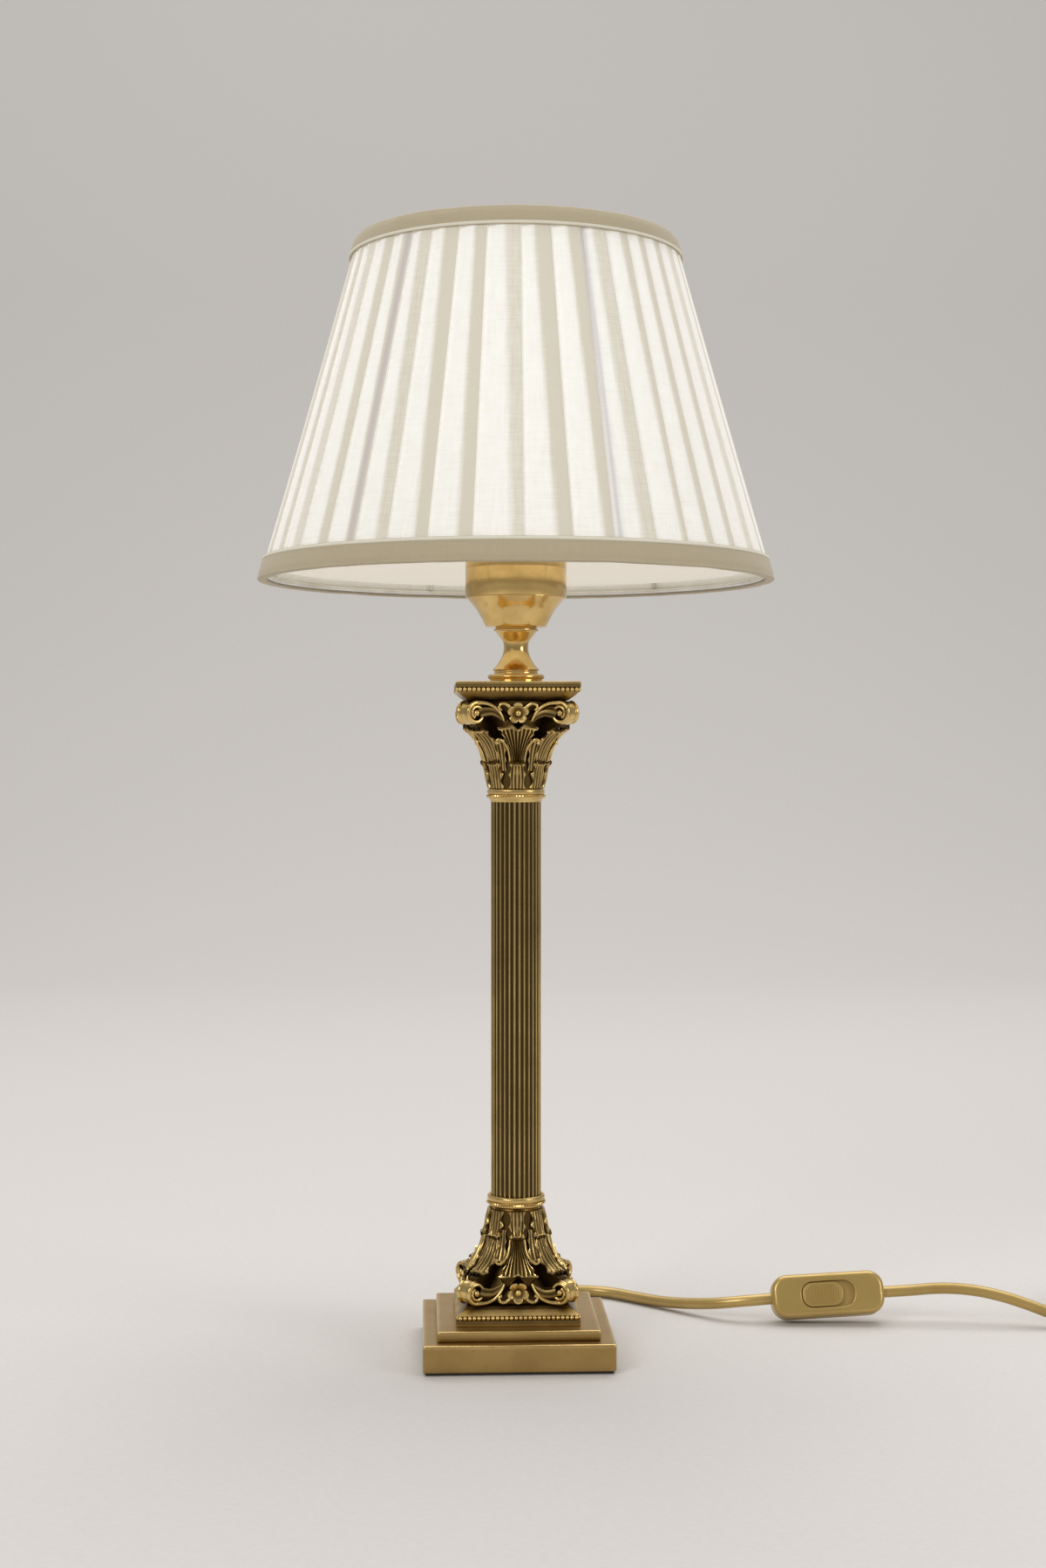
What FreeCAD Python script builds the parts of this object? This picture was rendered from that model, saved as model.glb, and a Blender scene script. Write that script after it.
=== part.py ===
"""A brass column table lamp with a pleated empire shade, a lead with an in-line switch, and a plug.

The origin is the middle of the underside of the base, +Z is up and the front of the base faces -Y.
Sizes are in millimetres. Every driving size is a cell of the sheet named Sizes.
"""

import FreeCAD, Part
import math
import os
import re

import Sketcher
from FreeCAD import Placement, Rotation, Vector

SIZES = {
    # Base: a felt pad under a hollow square plate, a smaller plate on it, a weight inside
    "felt_thickness": 1.2,
    "felt_inset": 1.0,
    "base_side": 94.0,
    "base_height": 13.3,
    "base_wall": 3.0,
    "base_roof": 3.0,
    "base_edge_radius": 0.8,
    "step_side": 80.0,
    "step_height": 5.0,
    "weight_gap": 0.3,
    "weight_height": 8.6,
    "weight_hole_radius": 14.0,
    "weight_slot_gap": 0.4,
    # Threaded tube that clamps the stack, with its nuts and washers
    "tube_radius": 4.9,
    "tube_bore_radius": 4.0,
    "tube_fit": 0.15,
    "washer_radius": 9.0,
    "washer_thickness": 1.0,
    "nut_across_flats": 14.0,
    "nut_thickness": 2.2,
    # Corinthian capital and its abacus, measured away from the outer face of the abacus
    "abacus_side": 61.4,
    "fillet_height": 2.9,
    "bead_height": 2.3,
    "bead_relief": 0.7,
    "ogee_height": 2.6,
    "cove_height": 2.0,
    "cove_side": 50.0,
    "capital_height": 53.0,
    "bell_foot_radius": 13.3,
    "bell_neck_radius": 14.0,
    "bell_neck_height": 15.0,
    "bell_lip_radius": 23.6,
    "bell_lip_height": 39.0,
    "small_leaf_tip": 14.0,
    "face_leaf_tip": 33.0,
    "corner_leaf_tip": 28.5,
    "volute_centre": 32.5,
    "volute_radius": 6.0,
    "volute_width": 7.6,
    "volute_strip": 1.3,
    "volute_relief": 0.8,
    "rosette_radius": 5.2,
    "rosette_thickness": 1.8,
    "rosette_height": 37.4,
    # Collars and the fluted column
    "collar_height": 6.7,
    "collar_radius": 13.9,
    "collar_rib_radius": 15.0,
    "collar_fit": 0.1,
    "column_radius": 12.6,
    "column_wall": 1.6,
    "column_length": 211.0,
    "flute_count": 30.0,
    "flute_radius": 1.05,
    "flute_depth": 0.6,
    # Turned neck, spun bowl and the sleeve round the lampholder
    "neck_height": 28.0,
    "neck_foot_radius": 13.2,
    "neck_torus_radius": 14.3,
    "neck_groove_radius": 11.0,
    "neck_radius": 6.2,
    "neck_ring_radius": 11.3,
    "bowl_floor_radius": 15.0,
    "bowl_height": 15.7,
    "bowl_spigot": 5.0,
    "sheet_wall": 1.0,
    "sleeve_radius": 25.4,
    "sleeve_height": 49.0,
    # Lampholder, its contacts and the screw ring
    "holder_radius": 17.0,
    "holder_skirt_radius": 19.6,
    "holder_cap_height": 22.0,
    "holder_skirt_height": 50.0,
    "holder_bore_radius": 13.6,
    "ring_radius": 24.4,
    "ring_height": 8.0,
    "ring_fit": 0.3,
    # Lamp bulb
    "bulb_cap_radius": 13.1,
    "bulb_cap_height": 24.0,
    "bulb_radius": 30.0,
    "bulb_centre_height": 50.0,
    "bulb_wall": 0.9,
    # Empire shade: rings, struts, fitter, cloth and trims
    "shade_bottom": 387.0,
    "shade_height": 170.0,
    "shade_bottom_radius": 129.3,
    "shade_top_radius": 80.6,
    "shade_ring_radius": 1.4,
    "strut_radius": 1.1,
    "strut_count": 6.0,
    "strut_turn": 20.0,
    "arm_radius": 1.5,
    "arm_count": 3.0,
    "fitter_thickness": 2.0,
    "pleat_count": 38.0,
    "pleat_depth": 0.7,
    "cloth_thickness": 0.6,
    "cloth_gap": 0.25,
    "lining_thickness": 0.4,
    "trim_thickness": 0.8,
    "bottom_trim_height": 11.7,
    "top_trim_height": 9.6,
    # Lead, strain relief, in-line switch and plug
    "cord_radius": 3.0,
    "inner_lead_radius": 2.3,
    "gland_radius": 4.2,
    "gland_flange": 0.6,
    "gland_length": 21.0,
    "exit_across": 3.0,
    "exit_height": 6.35,
    "switch_length": 59.4,
    "switch_width": 22.6,
    "switch_thickness": 15.0,
    "switch_corner_radius": 8.5,
    "switch_edge_radius": 2.2,
    "recess_length": 28.0,
    "recess_width": 13.6,
    "recess_depth": 2.4,
    "slider_length": 21.5,
    "slider_width": 12.6,
    "slider_travel": 5.6,
    "slider_height": 2.2,
    "slider_ribs": 14.0,
    "coil_inner_radius": 24.4,
    "coil_pitch": 6.75,
    "coil_turns_in": 2.75,
    "coil_turns_out": 3.0,
    "coil_layer_rise": 6.6,
    "plug_length": 35.0,
    "plug_width": 26.0,
    "plug_thickness": 13.6,
    "pin_radius": 2.0,
    "pin_length": 19.0,
    "pin_spacing": 18.8,
}

# Where the switch's middle stands, how far it leans back and how much its right end is lifted
SWITCH_MIDDLE = Vector(166.8, 47.6, 13.95)
SWITCH_LEAN = 20.0
SWITCH_LIFT = 3.5
SWITCH_TURN = -2.6
# Middle of the put-away coil and the direction, seen from above, of its outer end
COIL_MIDDLE = Vector(341.0, 56.0, 0.0)
COIL_START_ANGLE = 252.0
FLOOR_CLEARANCE = 0.1
# Points between the strain relief and the switch, and between the switch and the coil
SHORT_ROUTE = (
    (3.0, 81.2, 6.20),
    (10.4, 96.0, 5.17),
    (23.7, 106.0, 3.79),
    (40.0, 109.0, 3.10),
    (56.0, 104.3, 3.10),
    (69.1, 92.2, 3.10),
    (82.2, 80.0, 3.35),
    (95.3, 67.9, 5.26),
    (108.4, 55.8, 8.14),
    (123.2, 49.6, 10.90),
)
LONG_ROUTE = (
    (210.9, 45.7, 16.6),
    (225.6, 44.4, 18.1),
    (240.6, 41.9, 17.9),
    (255.4, 38.2, 15.7),
    (269.6, 33.9, 11.8),
    (282.4, 29.9, 7.3),
    (294.6, 25.9, 4.0),
)

doc = FreeCAD.newDocument("ColumnLamp")
sheet = doc.addObject("Spreadsheet::Sheet", "Sizes")
for row, (alias, number) in enumerate(SIZES.items(), start=1):
    sheet.set(f"A{row}", alias.replace("_", " "))
    sheet.set(f"B{row}", str(number))
    sheet.setAlias(f"B{row}", alias)
doc.recompute()

WORD = re.compile(r"[a-z][a-z0-9_]*")


def cells(expression):
    """The expression with each size written as its cell of the sheet."""
    return WORD.sub(lambda word: "Sizes." + word.group() if word.group() in SIZES else word.group(), expression)


def size(expression):
    """The number that an expression of sizes comes to, in millimetres."""
    return float(sheet.evalExpression(cells(expression)))


# ---------------------------------------------------------------- places along the axis
BASE_TOP = "(felt_thickness + base_height)"
STEP_TOP = f"({BASE_TOP} + step_height)"
COLUMN_BOTTOM = f"({STEP_TOP} + capital_height)"
COLUMN_TOP = f"({COLUMN_BOTTOM} + column_length)"
NECK_BOTTOM = f"({COLUMN_TOP} + capital_height)"
BOWL_BOTTOM = f"({NECK_BOTTOM} + neck_height)"
SLEEVE_BOTTOM = f"({BOWL_BOTTOM} + bowl_height)"
SLEEVE_TOP = f"({SLEEVE_BOTTOM} + sleeve_height)"
TUBE_BOTTOM = f"({BASE_TOP} - base_roof - washer_thickness - nut_thickness - 0.8)"
HOLDER_NUT_TOP = f"({BOWL_BOTTOM} + sheet_wall + nut_thickness)"
TUBE_TOP = f"({HOLDER_NUT_TOP} + 7)"
HOLDER_CAP_TOP = f"({HOLDER_NUT_TOP} + holder_cap_height)"
HOLDER_TOP = f"({HOLDER_CAP_TOP} + holder_skirt_height)"
FITTER_BOTTOM = f"({SLEEVE_TOP} + 0.1)"
FITTER_TOP = f"({FITTER_BOTTOM} + fitter_thickness)"
RING_BOTTOM = f"({FITTER_TOP} + ring_fit)"
BULB_CONTACT = f"({HOLDER_CAP_TOP} + 17)"
SHADE_TOP = "(shade_bottom + shade_height)"


# ---------------------------------------------------------------- sketches and bodies
def new_body(name):
    """A body whose label is the node's name."""
    body = doc.addObject("PartDesign::Body", name)
    body.Label = name
    return body


def plane_of(body, role):
    """One of the body's own origin planes."""
    return next(item for item in body.Origin.OriginFeatures if item.Role == role)


def arc_between(start, end, radius, side):
    """An arc from start to end. It turns left where side is 1 and right where it is -1."""
    chord = end - start
    middle = (start + end) * 0.5
    across = Vector(-chord.y, chord.x, 0).normalize() * side
    rise = math.sqrt(max(radius**2 - (chord.Length / 2) ** 2, 0.0))
    centre = middle + across * rise
    first, last = (start, end) if side > 0 else (end, start)
    begin = math.atan2(first.y - centre.y, first.x - centre.x)
    finish = math.atan2(last.y - centre.y, last.x - centre.x)
    return Part.ArcOfCircle(Part.Circle(centre, Vector(0, 0, 1), radius), begin, finish)


def outline_sketch(body, name, plane, corners, arcs=None, height="0"):
    """A closed sketch through corners, given as (across, up) expressions.

    arcs maps the number of a corner to (radius, side) of the arc that leads to the next corner.
    """
    arcs = arcs or {}
    sketch = body.newObject("Sketcher::SketchObject", name)
    sketch.AttachmentSupport = [(plane_of(body, plane), "")]
    sketch.MapMode = "FlatFace"
    sketch.setExpression("AttachmentOffset.Base.z", cells(height))
    places = [Vector(size(across), size(up), 0) for across, up in corners]
    ends = []
    for index, start in enumerate(places):
        end = places[(index + 1) % len(places)]
        if index in arcs:
            radius, side = arcs[index]
            edge = sketch.addGeometry(arc_between(start, end, size(radius), side), False)
            row = sketch.addConstraint(Sketcher.Constraint("Radius", edge, size(radius)))
            sketch.setExpression(f"Constraints[{row}]", cells(radius))
            ends.append((edge, 1, 2) if side > 0 else (edge, 2, 1))
        else:
            ends.append((sketch.addGeometry(Part.LineSegment(start, end), False), 1, 2))
    for index, (across, up) in enumerate(corners):
        edge, first, _ = ends[index]
        before, _, last = ends[index - 1]
        sketch.addConstraint(Sketcher.Constraint("Coincident", before, last, edge, first))
        for kind, expression, axis in (("DistanceX", across, -2), ("DistanceY", up, -1)):
            if expression == "0":
                sketch.addConstraint(Sketcher.Constraint("PointOnObject", edge, first, axis))
                continue
            row = sketch.addConstraint(Sketcher.Constraint(kind, -1, 1, edge, first, size(expression)))
            sketch.setExpression(f"Constraints[{row}]", cells(expression))
    return sketch


def circle_sketch(body, name, plane, across, up, radius, height="0"):
    """A sketch of one circle whose place and radius are expressions."""
    sketch = body.newObject("Sketcher::SketchObject", name)
    sketch.AttachmentSupport = [(plane_of(body, plane), "")]
    sketch.MapMode = "FlatFace"
    sketch.setExpression("AttachmentOffset.Base.z", cells(height))
    middle = Vector(size(across), size(up), 0)
    ring = sketch.addGeometry(Part.Circle(middle, Vector(0, 0, 1), size(radius)), False)
    for kind, expression, axis in (("DistanceX", across, -2), ("DistanceY", up, -1)):
        if expression == "0":
            sketch.addConstraint(Sketcher.Constraint("PointOnObject", ring, 3, axis))
            continue
        row = sketch.addConstraint(Sketcher.Constraint(kind, -1, 1, ring, 3, size(expression)))
        sketch.setExpression(f"Constraints[{row}]", cells(expression))
    row = sketch.addConstraint(Sketcher.Constraint("Radius", ring, size(radius)))
    sketch.setExpression(f"Constraints[{row}]", cells(radius))
    return sketch


def turned(name, corners, arcs=None):
    """A body turned about the upright axis from an outline of (radius, height) corners."""
    body = new_body(name)
    sketch = outline_sketch(body, name + "_outline", "XZ_Plane", corners, arcs)
    doc.recompute()
    turning = body.newObject("PartDesign::Revolution", name + "_turning")
    turning.Profile = sketch
    turning.ReferenceAxis = (sketch, ["V_Axis"])
    turning.Angle = 360
    sketch.Visibility = False
    doc.recompute()
    return body


def flat_sketch(body, name, shape, height):
    """A flat sketch: of corners, or of a circle about the axis where shape is its radius."""
    if isinstance(shape, str):
        return circle_sketch(body, name, "XY_Plane", "0", "0", shape, height)
    return outline_sketch(body, name, "XY_Plane", shape, None, height)


def padded(name, shape, bottom, height):
    """A body padded upwards from a flat outline of (across, deep) corners, or from a radius."""
    body = new_body(name)
    sketch = flat_sketch(body, name + "_outline", shape, bottom)
    doc.recompute()
    pad = body.newObject("PartDesign::Pad", name + "_pad")
    pad.Profile = sketch
    pad.setExpression("Length", cells(height))
    doc.recompute()
    return body


def cut_with(body, name, sketch, depth):
    """Pockets a sketch along its normal, and checks that something was cut."""
    doc.recompute()
    before = body.Shape.Volume
    pocket = body.newObject("PartDesign::Pocket", name)
    pocket.Profile = sketch
    pocket.Reversed = True
    pocket.setExpression("Length", cells(depth))
    doc.recompute()
    if body.Shape.Volume > before - 1e-3:
        raise RuntimeError(name + " cuts nothing")
    return pocket


def pocketed(body, name, shape, bottom, depth):
    """Cuts a flat outline, or a circle, into a body from the height bottom upwards."""
    return cut_with(body, name, flat_sketch(body, name + "_outline", shape, bottom), depth)


def square(side):
    """The corners of a square about the axis."""
    half = f"{side} / 2"
    return [(f"-{half}", f"-{half}"), (half, f"-{half}"), (half, half), (f"-{half}", half)]


def ring_outline(inner, outer, bottom, top):
    """The outline of a plain turned ring."""
    return [(inner, bottom), (outer, bottom), (outer, top), (inner, top)]


def edges_where(shape, test):
    """The names of the edges whose middle and direction pass a test."""
    names = []
    for index, edge in enumerate(shape.Edges, start=1):
        start = edge.valueAt(edge.FirstParameter)
        end = edge.valueAt(edge.LastParameter)
        if test(start, end):
            names.append(f"Edge{index}")
    return names


def rounded(body, name, radius, test):
    """Rounds the edges of a body that pass a test."""
    tip = body.Tip
    fillet = body.newObject("PartDesign::Fillet", name)
    fillet.Base = (tip, edges_where(tip.Shape, test))
    fillet.setExpression("Radius", cells(radius))
    doc.recompute()
    return fillet


def feature(name, shape, placement=None):
    """A piece whose form needs the geometry functions themselves."""
    piece = doc.addObject("Part::Feature", name)
    piece.Label = name
    piece.Shape = shape
    if placement:
        piece.Placement = placement
    return piece


def upright(start, end):
    """True for an edge that runs straight up."""
    return (start - end).Length > 1 and abs(start.x - end.x) + abs(start.y - end.y) < 1e-6


# ---------------------------------------------------------------- base
def build_base():
    """Felt pad, hollow lower plate, the weight inside it and the smaller upper plate."""
    padded("base_felt", square("(base_side - 2 * felt_inset)"), "0", "felt_thickness")

    plate = padded("lower_plinth", square("base_side"), "felt_thickness", "base_height")
    hollow = square("(base_side - 2 * base_wall)")
    pocketed(plate, "lower_plinth_hollow", hollow, "felt_thickness", "base_height - base_roof")
    pocketed(plate, "lower_plinth_hole", "tube_radius + tube_fit", "felt_thickness", "base_height + 1")
    lead_hole = circle_sketch(plate, "lead_hole_outline", "XZ_Plane", "exit_across", "exit_height",
                              "gland_radius + collar_fit", "-(base_side / 2 + 1)")
    cut_with(plate, "lead_hole", lead_hole, "base_wall + 2")
    limit = size("base_side / 2 - 0.01")
    top = size(BASE_TOP) - 0.01
    rounded(plate, "lower_plinth_edges", "base_edge_radius",
            lambda a, b: max(abs(a.x), abs(a.y)) > limit and max(abs(b.x), abs(b.y)) > limit
            and (upright(a, b) or (a.z > top and b.z > top)))

    weight = padded("base_weight", square("(base_side - 2 * base_wall - 2 * weight_gap)"),
                    f"{BASE_TOP} - base_roof - weight_height", "weight_height")
    pocketed(weight, "weight_hole", "weight_hole_radius", f"{BASE_TOP} - base_roof - weight_height - 1",
             "weight_height + 2")
    reach = "(gland_radius + gland_flange + weight_slot_gap)"
    slot = [(f"exit_across - {reach}", "0"), (f"exit_across + {reach}", "0"),
            (f"exit_across + {reach}", "base_side / 2"), (f"exit_across - {reach}", "base_side / 2")]
    pocketed(weight, "weight_slot", slot, f"{BASE_TOP} - base_roof - weight_height - 1", "weight_height + 2")

    step = padded("upper_plinth", square("step_side"), BASE_TOP, "step_height")
    pocketed(step, "upper_plinth_hole", "tube_radius + tube_fit", f"{BASE_TOP} - 1", "step_height + 2")
    rounded(step, "upper_plinth_edges", "base_edge_radius",
            lambda a, b: upright(a, b) and max(abs(a.x), abs(a.y)) > size("step_side / 2 - 0.01"))


# ---------------------------------------------------------------- threaded tube, nuts, washers
def build_clamp():
    """The tube that runs from the base to the lampholder, and what clamps the stack on it."""
    turned("threaded_tube", ring_outline("tube_bore_radius", "tube_radius", TUBE_BOTTOM, TUBE_TOP))
    washer_top = f"({BASE_TOP} - base_roof)"
    turned("base_washer", ring_outline("tube_radius + tube_fit", "washer_radius",
                                       f"{washer_top} - washer_thickness", washer_top))
    for name, bottom in (("base_nut", f"{washer_top} - washer_thickness - nut_thickness"),
                         ("holder_nut", f"{BOWL_BOTTOM} + sheet_wall")):
        corner = "(nut_across_flats / 2 / cos(30))"
        six = [(f"{corner} * cos({60 * k})", f"{corner} * sin({60 * k})") for k in range(6)]
        six = [(across, "0" if k in (0, 3) else deep) for k, (across, deep) in enumerate(six)]
        nut = padded(name, six, bottom, "nut_thickness")
        pocketed(nut, name + "_hole", "tube_radius + tube_fit", f"{bottom} - 1", "nut_thickness + 2")


# ---------------------------------------------------------------- Corinthian capital
def faceted(sections):
    """A closed solid through flat polygons of equal count, with flat triangles between them."""
    faces = []
    for lower, upper in zip(sections, sections[1:]):
        count = len(lower)
        for index in range(count):
            after = (index + 1) % count
            for corners in ((lower[index], lower[after], upper[after]), (lower[index], upper[after], upper[index])):
                faces.append(Part.Face(Part.makePolygon([*corners, corners[0]])))
    faces += [Part.Face(Part.makePolygon(outline + outline[:1])) for outline in (sections[0], sections[-1])]
    solid = Part.Solid(Part.Shell(faces))
    if solid.Volume < 0:
        solid.reverse()
    return solid


def leaf(stations, profile):
    """A leaf through sections across its spine.

    Each station is (radius, height, lean, half width, thickness, root): the lean is the angle of the
    leaf's outer face from upright, and the root is how deep the section reaches behind the spine.
    The profile gives the section from edge to edge, as shares of the half width and the thickness.
    """
    sections = []
    for radius, height, lean, half_width, thickness, root in stations:
        out = Vector(math.cos(math.radians(lean)), 0, -math.sin(math.radians(lean)))
        spine = Vector(radius, 0, height)
        section = [spine + Vector(0, -half_width, 0) - out * root]
        section += [spine + Vector(0, share * half_width, 0) + out * (rise * thickness) for share, rise in profile]
        section.append(spine + Vector(0, half_width, 0) - out * root)
        sections.append(section)
    return faceted(sections)


def around(shape, count, first=0.0):
    """Copies of a shape spread evenly about the axis."""
    copies = []
    for number in range(count):
        copy = shape.copy()
        copy.rotate(Vector(), Vector(0, 0, 1), first + 360.0 / count * number)
        copies.append(copy)
    return copies


def ring_points(radius, height, count, turn=0.0):
    """The corners of a flat regular polygon about the axis."""
    angles = [math.radians(turn) + 2 * math.pi * number / count for number in range(count)]
    return [Vector(radius * math.cos(angle), radius * math.sin(angle), height) for angle in angles]


def bell_radius(height):
    """The radius of the bell at a height above the foot of the leaves."""
    neck_height = size("bell_neck_height")
    foot, neck, lip = size("bell_foot_radius"), size("bell_neck_radius"), size("bell_lip_radius")
    if height <= neck_height:
        return foot + (neck - foot) * height / neck_height
    share = min((height - neck_height) / (size("bell_lip_height") - neck_height), 1.0)
    return neck + (lip - neck) * share**2


def square_slab(side_below, side_above, bottom, height):
    """A square slab whose sides slope from one width to another."""
    sections = []
    for side, level in ((side_below, bottom), (side_above, bottom + height)):
        half = side / 2
        sections.append([Vector(-half, -half, level), Vector(half, -half, level),
                         Vector(half, half, level), Vector(-half, half, level)])
    wires = [Part.makePolygon(section + section[:1]) for section in sections]
    return Part.makeLoft(wires, True, True)


def spiral_outline(radius, strip, turns, per_turn):
    """The outline of a strip that winds inwards as a spiral, in the plane of X and Z."""
    outer, inner = [], []
    for step in range(int(turns * per_turn) + 1):
        angle = math.pi / 2 - 2 * math.pi * step / per_turn
        reach = radius * (1 - 0.8 * step / (turns * per_turn))
        width = strip * (1 - 0.35 * step / (turns * per_turn))
        way = Vector(math.cos(angle), 0, math.sin(angle))
        outer.append(way * reach)
        inner.append(way * (reach - width))
    return outer + inner[::-1]


def volute_solids():
    """One corner scroll: a core drum, a spiral strip that stands out of its ends, and its web."""
    radius, width, strip = size("volute_radius"), size("volute_width"), size("volute_strip")
    relief = size("volute_relief")
    top = size("capital_height - fillet_height - bead_height - ogee_height - cove_height")
    centre = Vector(size("volute_centre"), 0, top - radius)
    along = Vector(0, 1, 0)
    drum = [centre + Vector(math.cos(angle), 0, math.sin(angle)) * (radius - 0.15)
            for angle in (2 * math.pi * step / 14 for step in range(14))]
    core = Part.Face(Part.makePolygon(drum + drum[:1])).extrude(along * (width - 2 * relief))
    core.translate(along * (relief - width / 2))
    spiral = [centre + point for point in spiral_outline(radius, strip, 2.2, 11)]
    ribbon = Part.Face(Part.makePolygon(spiral + spiral[:1])).extrude(along * width)
    ribbon.translate(along * (-width / 2))
    half = width / 2 - relief
    web = [Vector(16, -half, 20), Vector(20, -half, 19), Vector(26, -half, 27),
           Vector(centre.x, -half, centre.z - radius * 0.8), Vector(centre.x, -half, top), Vector(16, -half, top)]
    return [core, ribbon, Part.Face(Part.makePolygon(web + web[:1])).extrude(along * (2 * half))]


def horn_solid(side):
    """The rolled band that runs from beside the rosette out to a scroll, on the front face."""
    top = size("capital_height - fillet_height - bead_height - ogee_height - cove_height")
    radius = size("volute_radius")
    reach = size("volute_centre") / math.sqrt(2)
    width = size("volute_width") / 2 / math.sqrt(2)
    stations = ((6.2, 23.4, 1.8, top - 8.4), (12.0, 23.6, 3.2, top - 5.2),
                (reach - width, reach + width, radius - 1.6, top - radius))
    sections = []
    for across, deep, half, level in stations:
        sections.append([Vector(side * across, -deep + half * 0.5 * math.sin(math.radians(turn)),
                                level + half * math.cos(math.radians(turn))) for turn in range(0, 360, 60)])
    return faceted(sections)


def rosette_solids():
    """The flower in the middle of a face: six pointed petals round a domed middle, on its boss."""
    radius, thickness = size("rosette_radius"), size("rosette_thickness")
    face = Vector(0, -(size("cove_side") / 2 + 1.6), size("rosette_height"))
    depths = ((thickness, 0.8, 1.0), (0.4, 1.0, 0.8), (-0.4, 0.8, 0.7))
    petals = []
    for depth, share, notch in depths:
        outline = []
        for step in range(12):
            angle = math.radians(30 * step)
            reach = radius * share * (1.0 if step % 2 == 0 else 0.72 * notch)
            outline.append(face + Vector(math.cos(angle) * reach, depth, math.sin(angle) * reach))
        petals.append(outline)
    dome = [[face + Vector(math.cos(angle) * reach, depth, math.sin(angle) * reach)
             for angle in (math.pi / 3 * (step + 0.4) for step in range(6))]
            for depth, reach in ((0.7, radius * 0.34), (-1.2, radius * 0.38), (-1.9, radius * 0.14))]
    boss = [[face + Vector(math.cos(angle) * radius * 0.45, depth, math.sin(angle) * radius * 0.45)
             for angle in (math.pi / 3 * (step + 0.3) for step in range(6))] for depth in (8.5, thickness - 0.7)]
    return [faceted(petals), faceted(dome), faceted(boss)]


SMALL_LEAF = ((-1.0, 0.2), (-0.45, 1.0), (0.0, 0.55), (0.45, 1.0), (1.0, 0.2))
FAN_LEAF = ((-1.0, 0.9), (-0.75, 0.3), (-0.5, 1.0), (-0.2, 0.35), (0.0, 0.9), (0.2, 0.35), (0.5, 1.0), (0.75, 0.3),
            (1.0, 0.9))


def leaf_solids():
    """The lower ring of small leaves, the fan leaf of each face and the leaf under each scroll."""
    tip = size("small_leaf_tip")
    small = leaf([(bell_radius(0), 0, 0, 4.4, 1.0, 1.5), (bell_radius(5), 5, 0, 4.7, 1.4, 1.5),
                  (bell_radius(tip) + 0.4, tip - 2.4, 18, 3.9, 1.6, 1.8),
                  (bell_radius(tip) + 1.5, tip, 75, 2.4, 1.0, 1.0),
                  (bell_radius(tip) + 2.4, tip - 1.0, 120, 1.2, 0.5, 0.4)], SMALL_LEAF)
    tip = size("face_leaf_tip")
    face = leaf([(bell_radius(7), 7, 0, 3.6, 0.9, 2.0), (bell_radius(17) + 0.2, 17, 4, 4.8, 1.7, 2.0),
                 (bell_radius(25) + 0.6, 25, 22, 7.0, 2.3, 2.4), (bell_radius(tip) + 1.2, tip - 1.2, 46, 10.2, 2.4, 3.0),
                 (bell_radius(tip) + 3.8, tip - 0.6, 100, 9.2, 1.4, 1.2)], FAN_LEAF)
    tip = size("corner_leaf_tip")
    corner = leaf([(bell_radius(9), 9, 0, 3.2, 0.9, 2.0), (bell_radius(16) + 0.8, 16, 14, 4.6, 1.6, 2.4),
                   (bell_radius(22) + 3.4, 22, 38, 5.0, 1.8, 4.0), (29.4, tip, 60, 3.8, 1.3, 3.2),
                   (31.4, tip - 0.6, 115, 2.2, 0.6, 0.8)], SMALL_LEAF)
    return around(small, 8) + around(face, 4, -90.0) + around(corner, 4, 45.0)


def capital_solid():
    """The whole casting, foot of the leaves at zero and the abacus on top."""
    abacus, cove = size("abacus_side"), size("cove_side")
    level = size("capital_height - fillet_height - bead_height - ogee_height - cove_height")
    heights = (0.0, 8.0, 15.0, 21.0, 27.0, 33.0, size("bell_lip_height"), level + 0.5)
    solids = [faceted([ring_points(bell_radius(height), height, 24, 3.0) for height in heights])]
    solids.append(square_slab(cove, cove + 2, level, size("cove_height + 0.2")))
    solids.append(square_slab(cove + 2.4, abacus - 1.0, level + size("cove_height"), size("ogee_height")))
    level += size("cove_height + ogee_height")
    recess = abacus - 2 * size("bead_relief")
    solids.append(square_slab(recess, recess, level - 0.3, size("bead_height + 0.6")))
    solids.append(square_slab(abacus - 0.6, abacus, level + size("bead_height"), size("fillet_height")))
    solids += leaf_solids()
    for piece in volute_solids():
        solids += around(piece, 4, 45.0)
    for side in (-1, 1):
        solids += around(horn_solid(side), 4)
    for piece in rosette_solids():
        solids += around(piece, 4)
    whole = solids[0].multiFuse(solids[1:])
    whole = whole.cut(Part.makeCylinder(size("tube_radius + tube_fit"), size("capital_height + 2"), Vector(0, 0, -1)))
    if len(whole.Solids) != 1:
        raise RuntimeError(f"the capital is {len(whole.Solids)} solids")
    return whole.Solids[0]


def build_capitals():
    """The upper capital, and the same casting turned over as the foot of the column."""
    casting = capital_solid()
    upper = Placement(Vector(0, 0, size(COLUMN_TOP)), Rotation())
    feature("upper_capital", casting, upper)
    foot = Placement(Vector(0, 0, size(COLUMN_BOTTOM)), Rotation(Vector(1, 0, 0), 180))
    feature("foot_capital", casting, foot)


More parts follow.
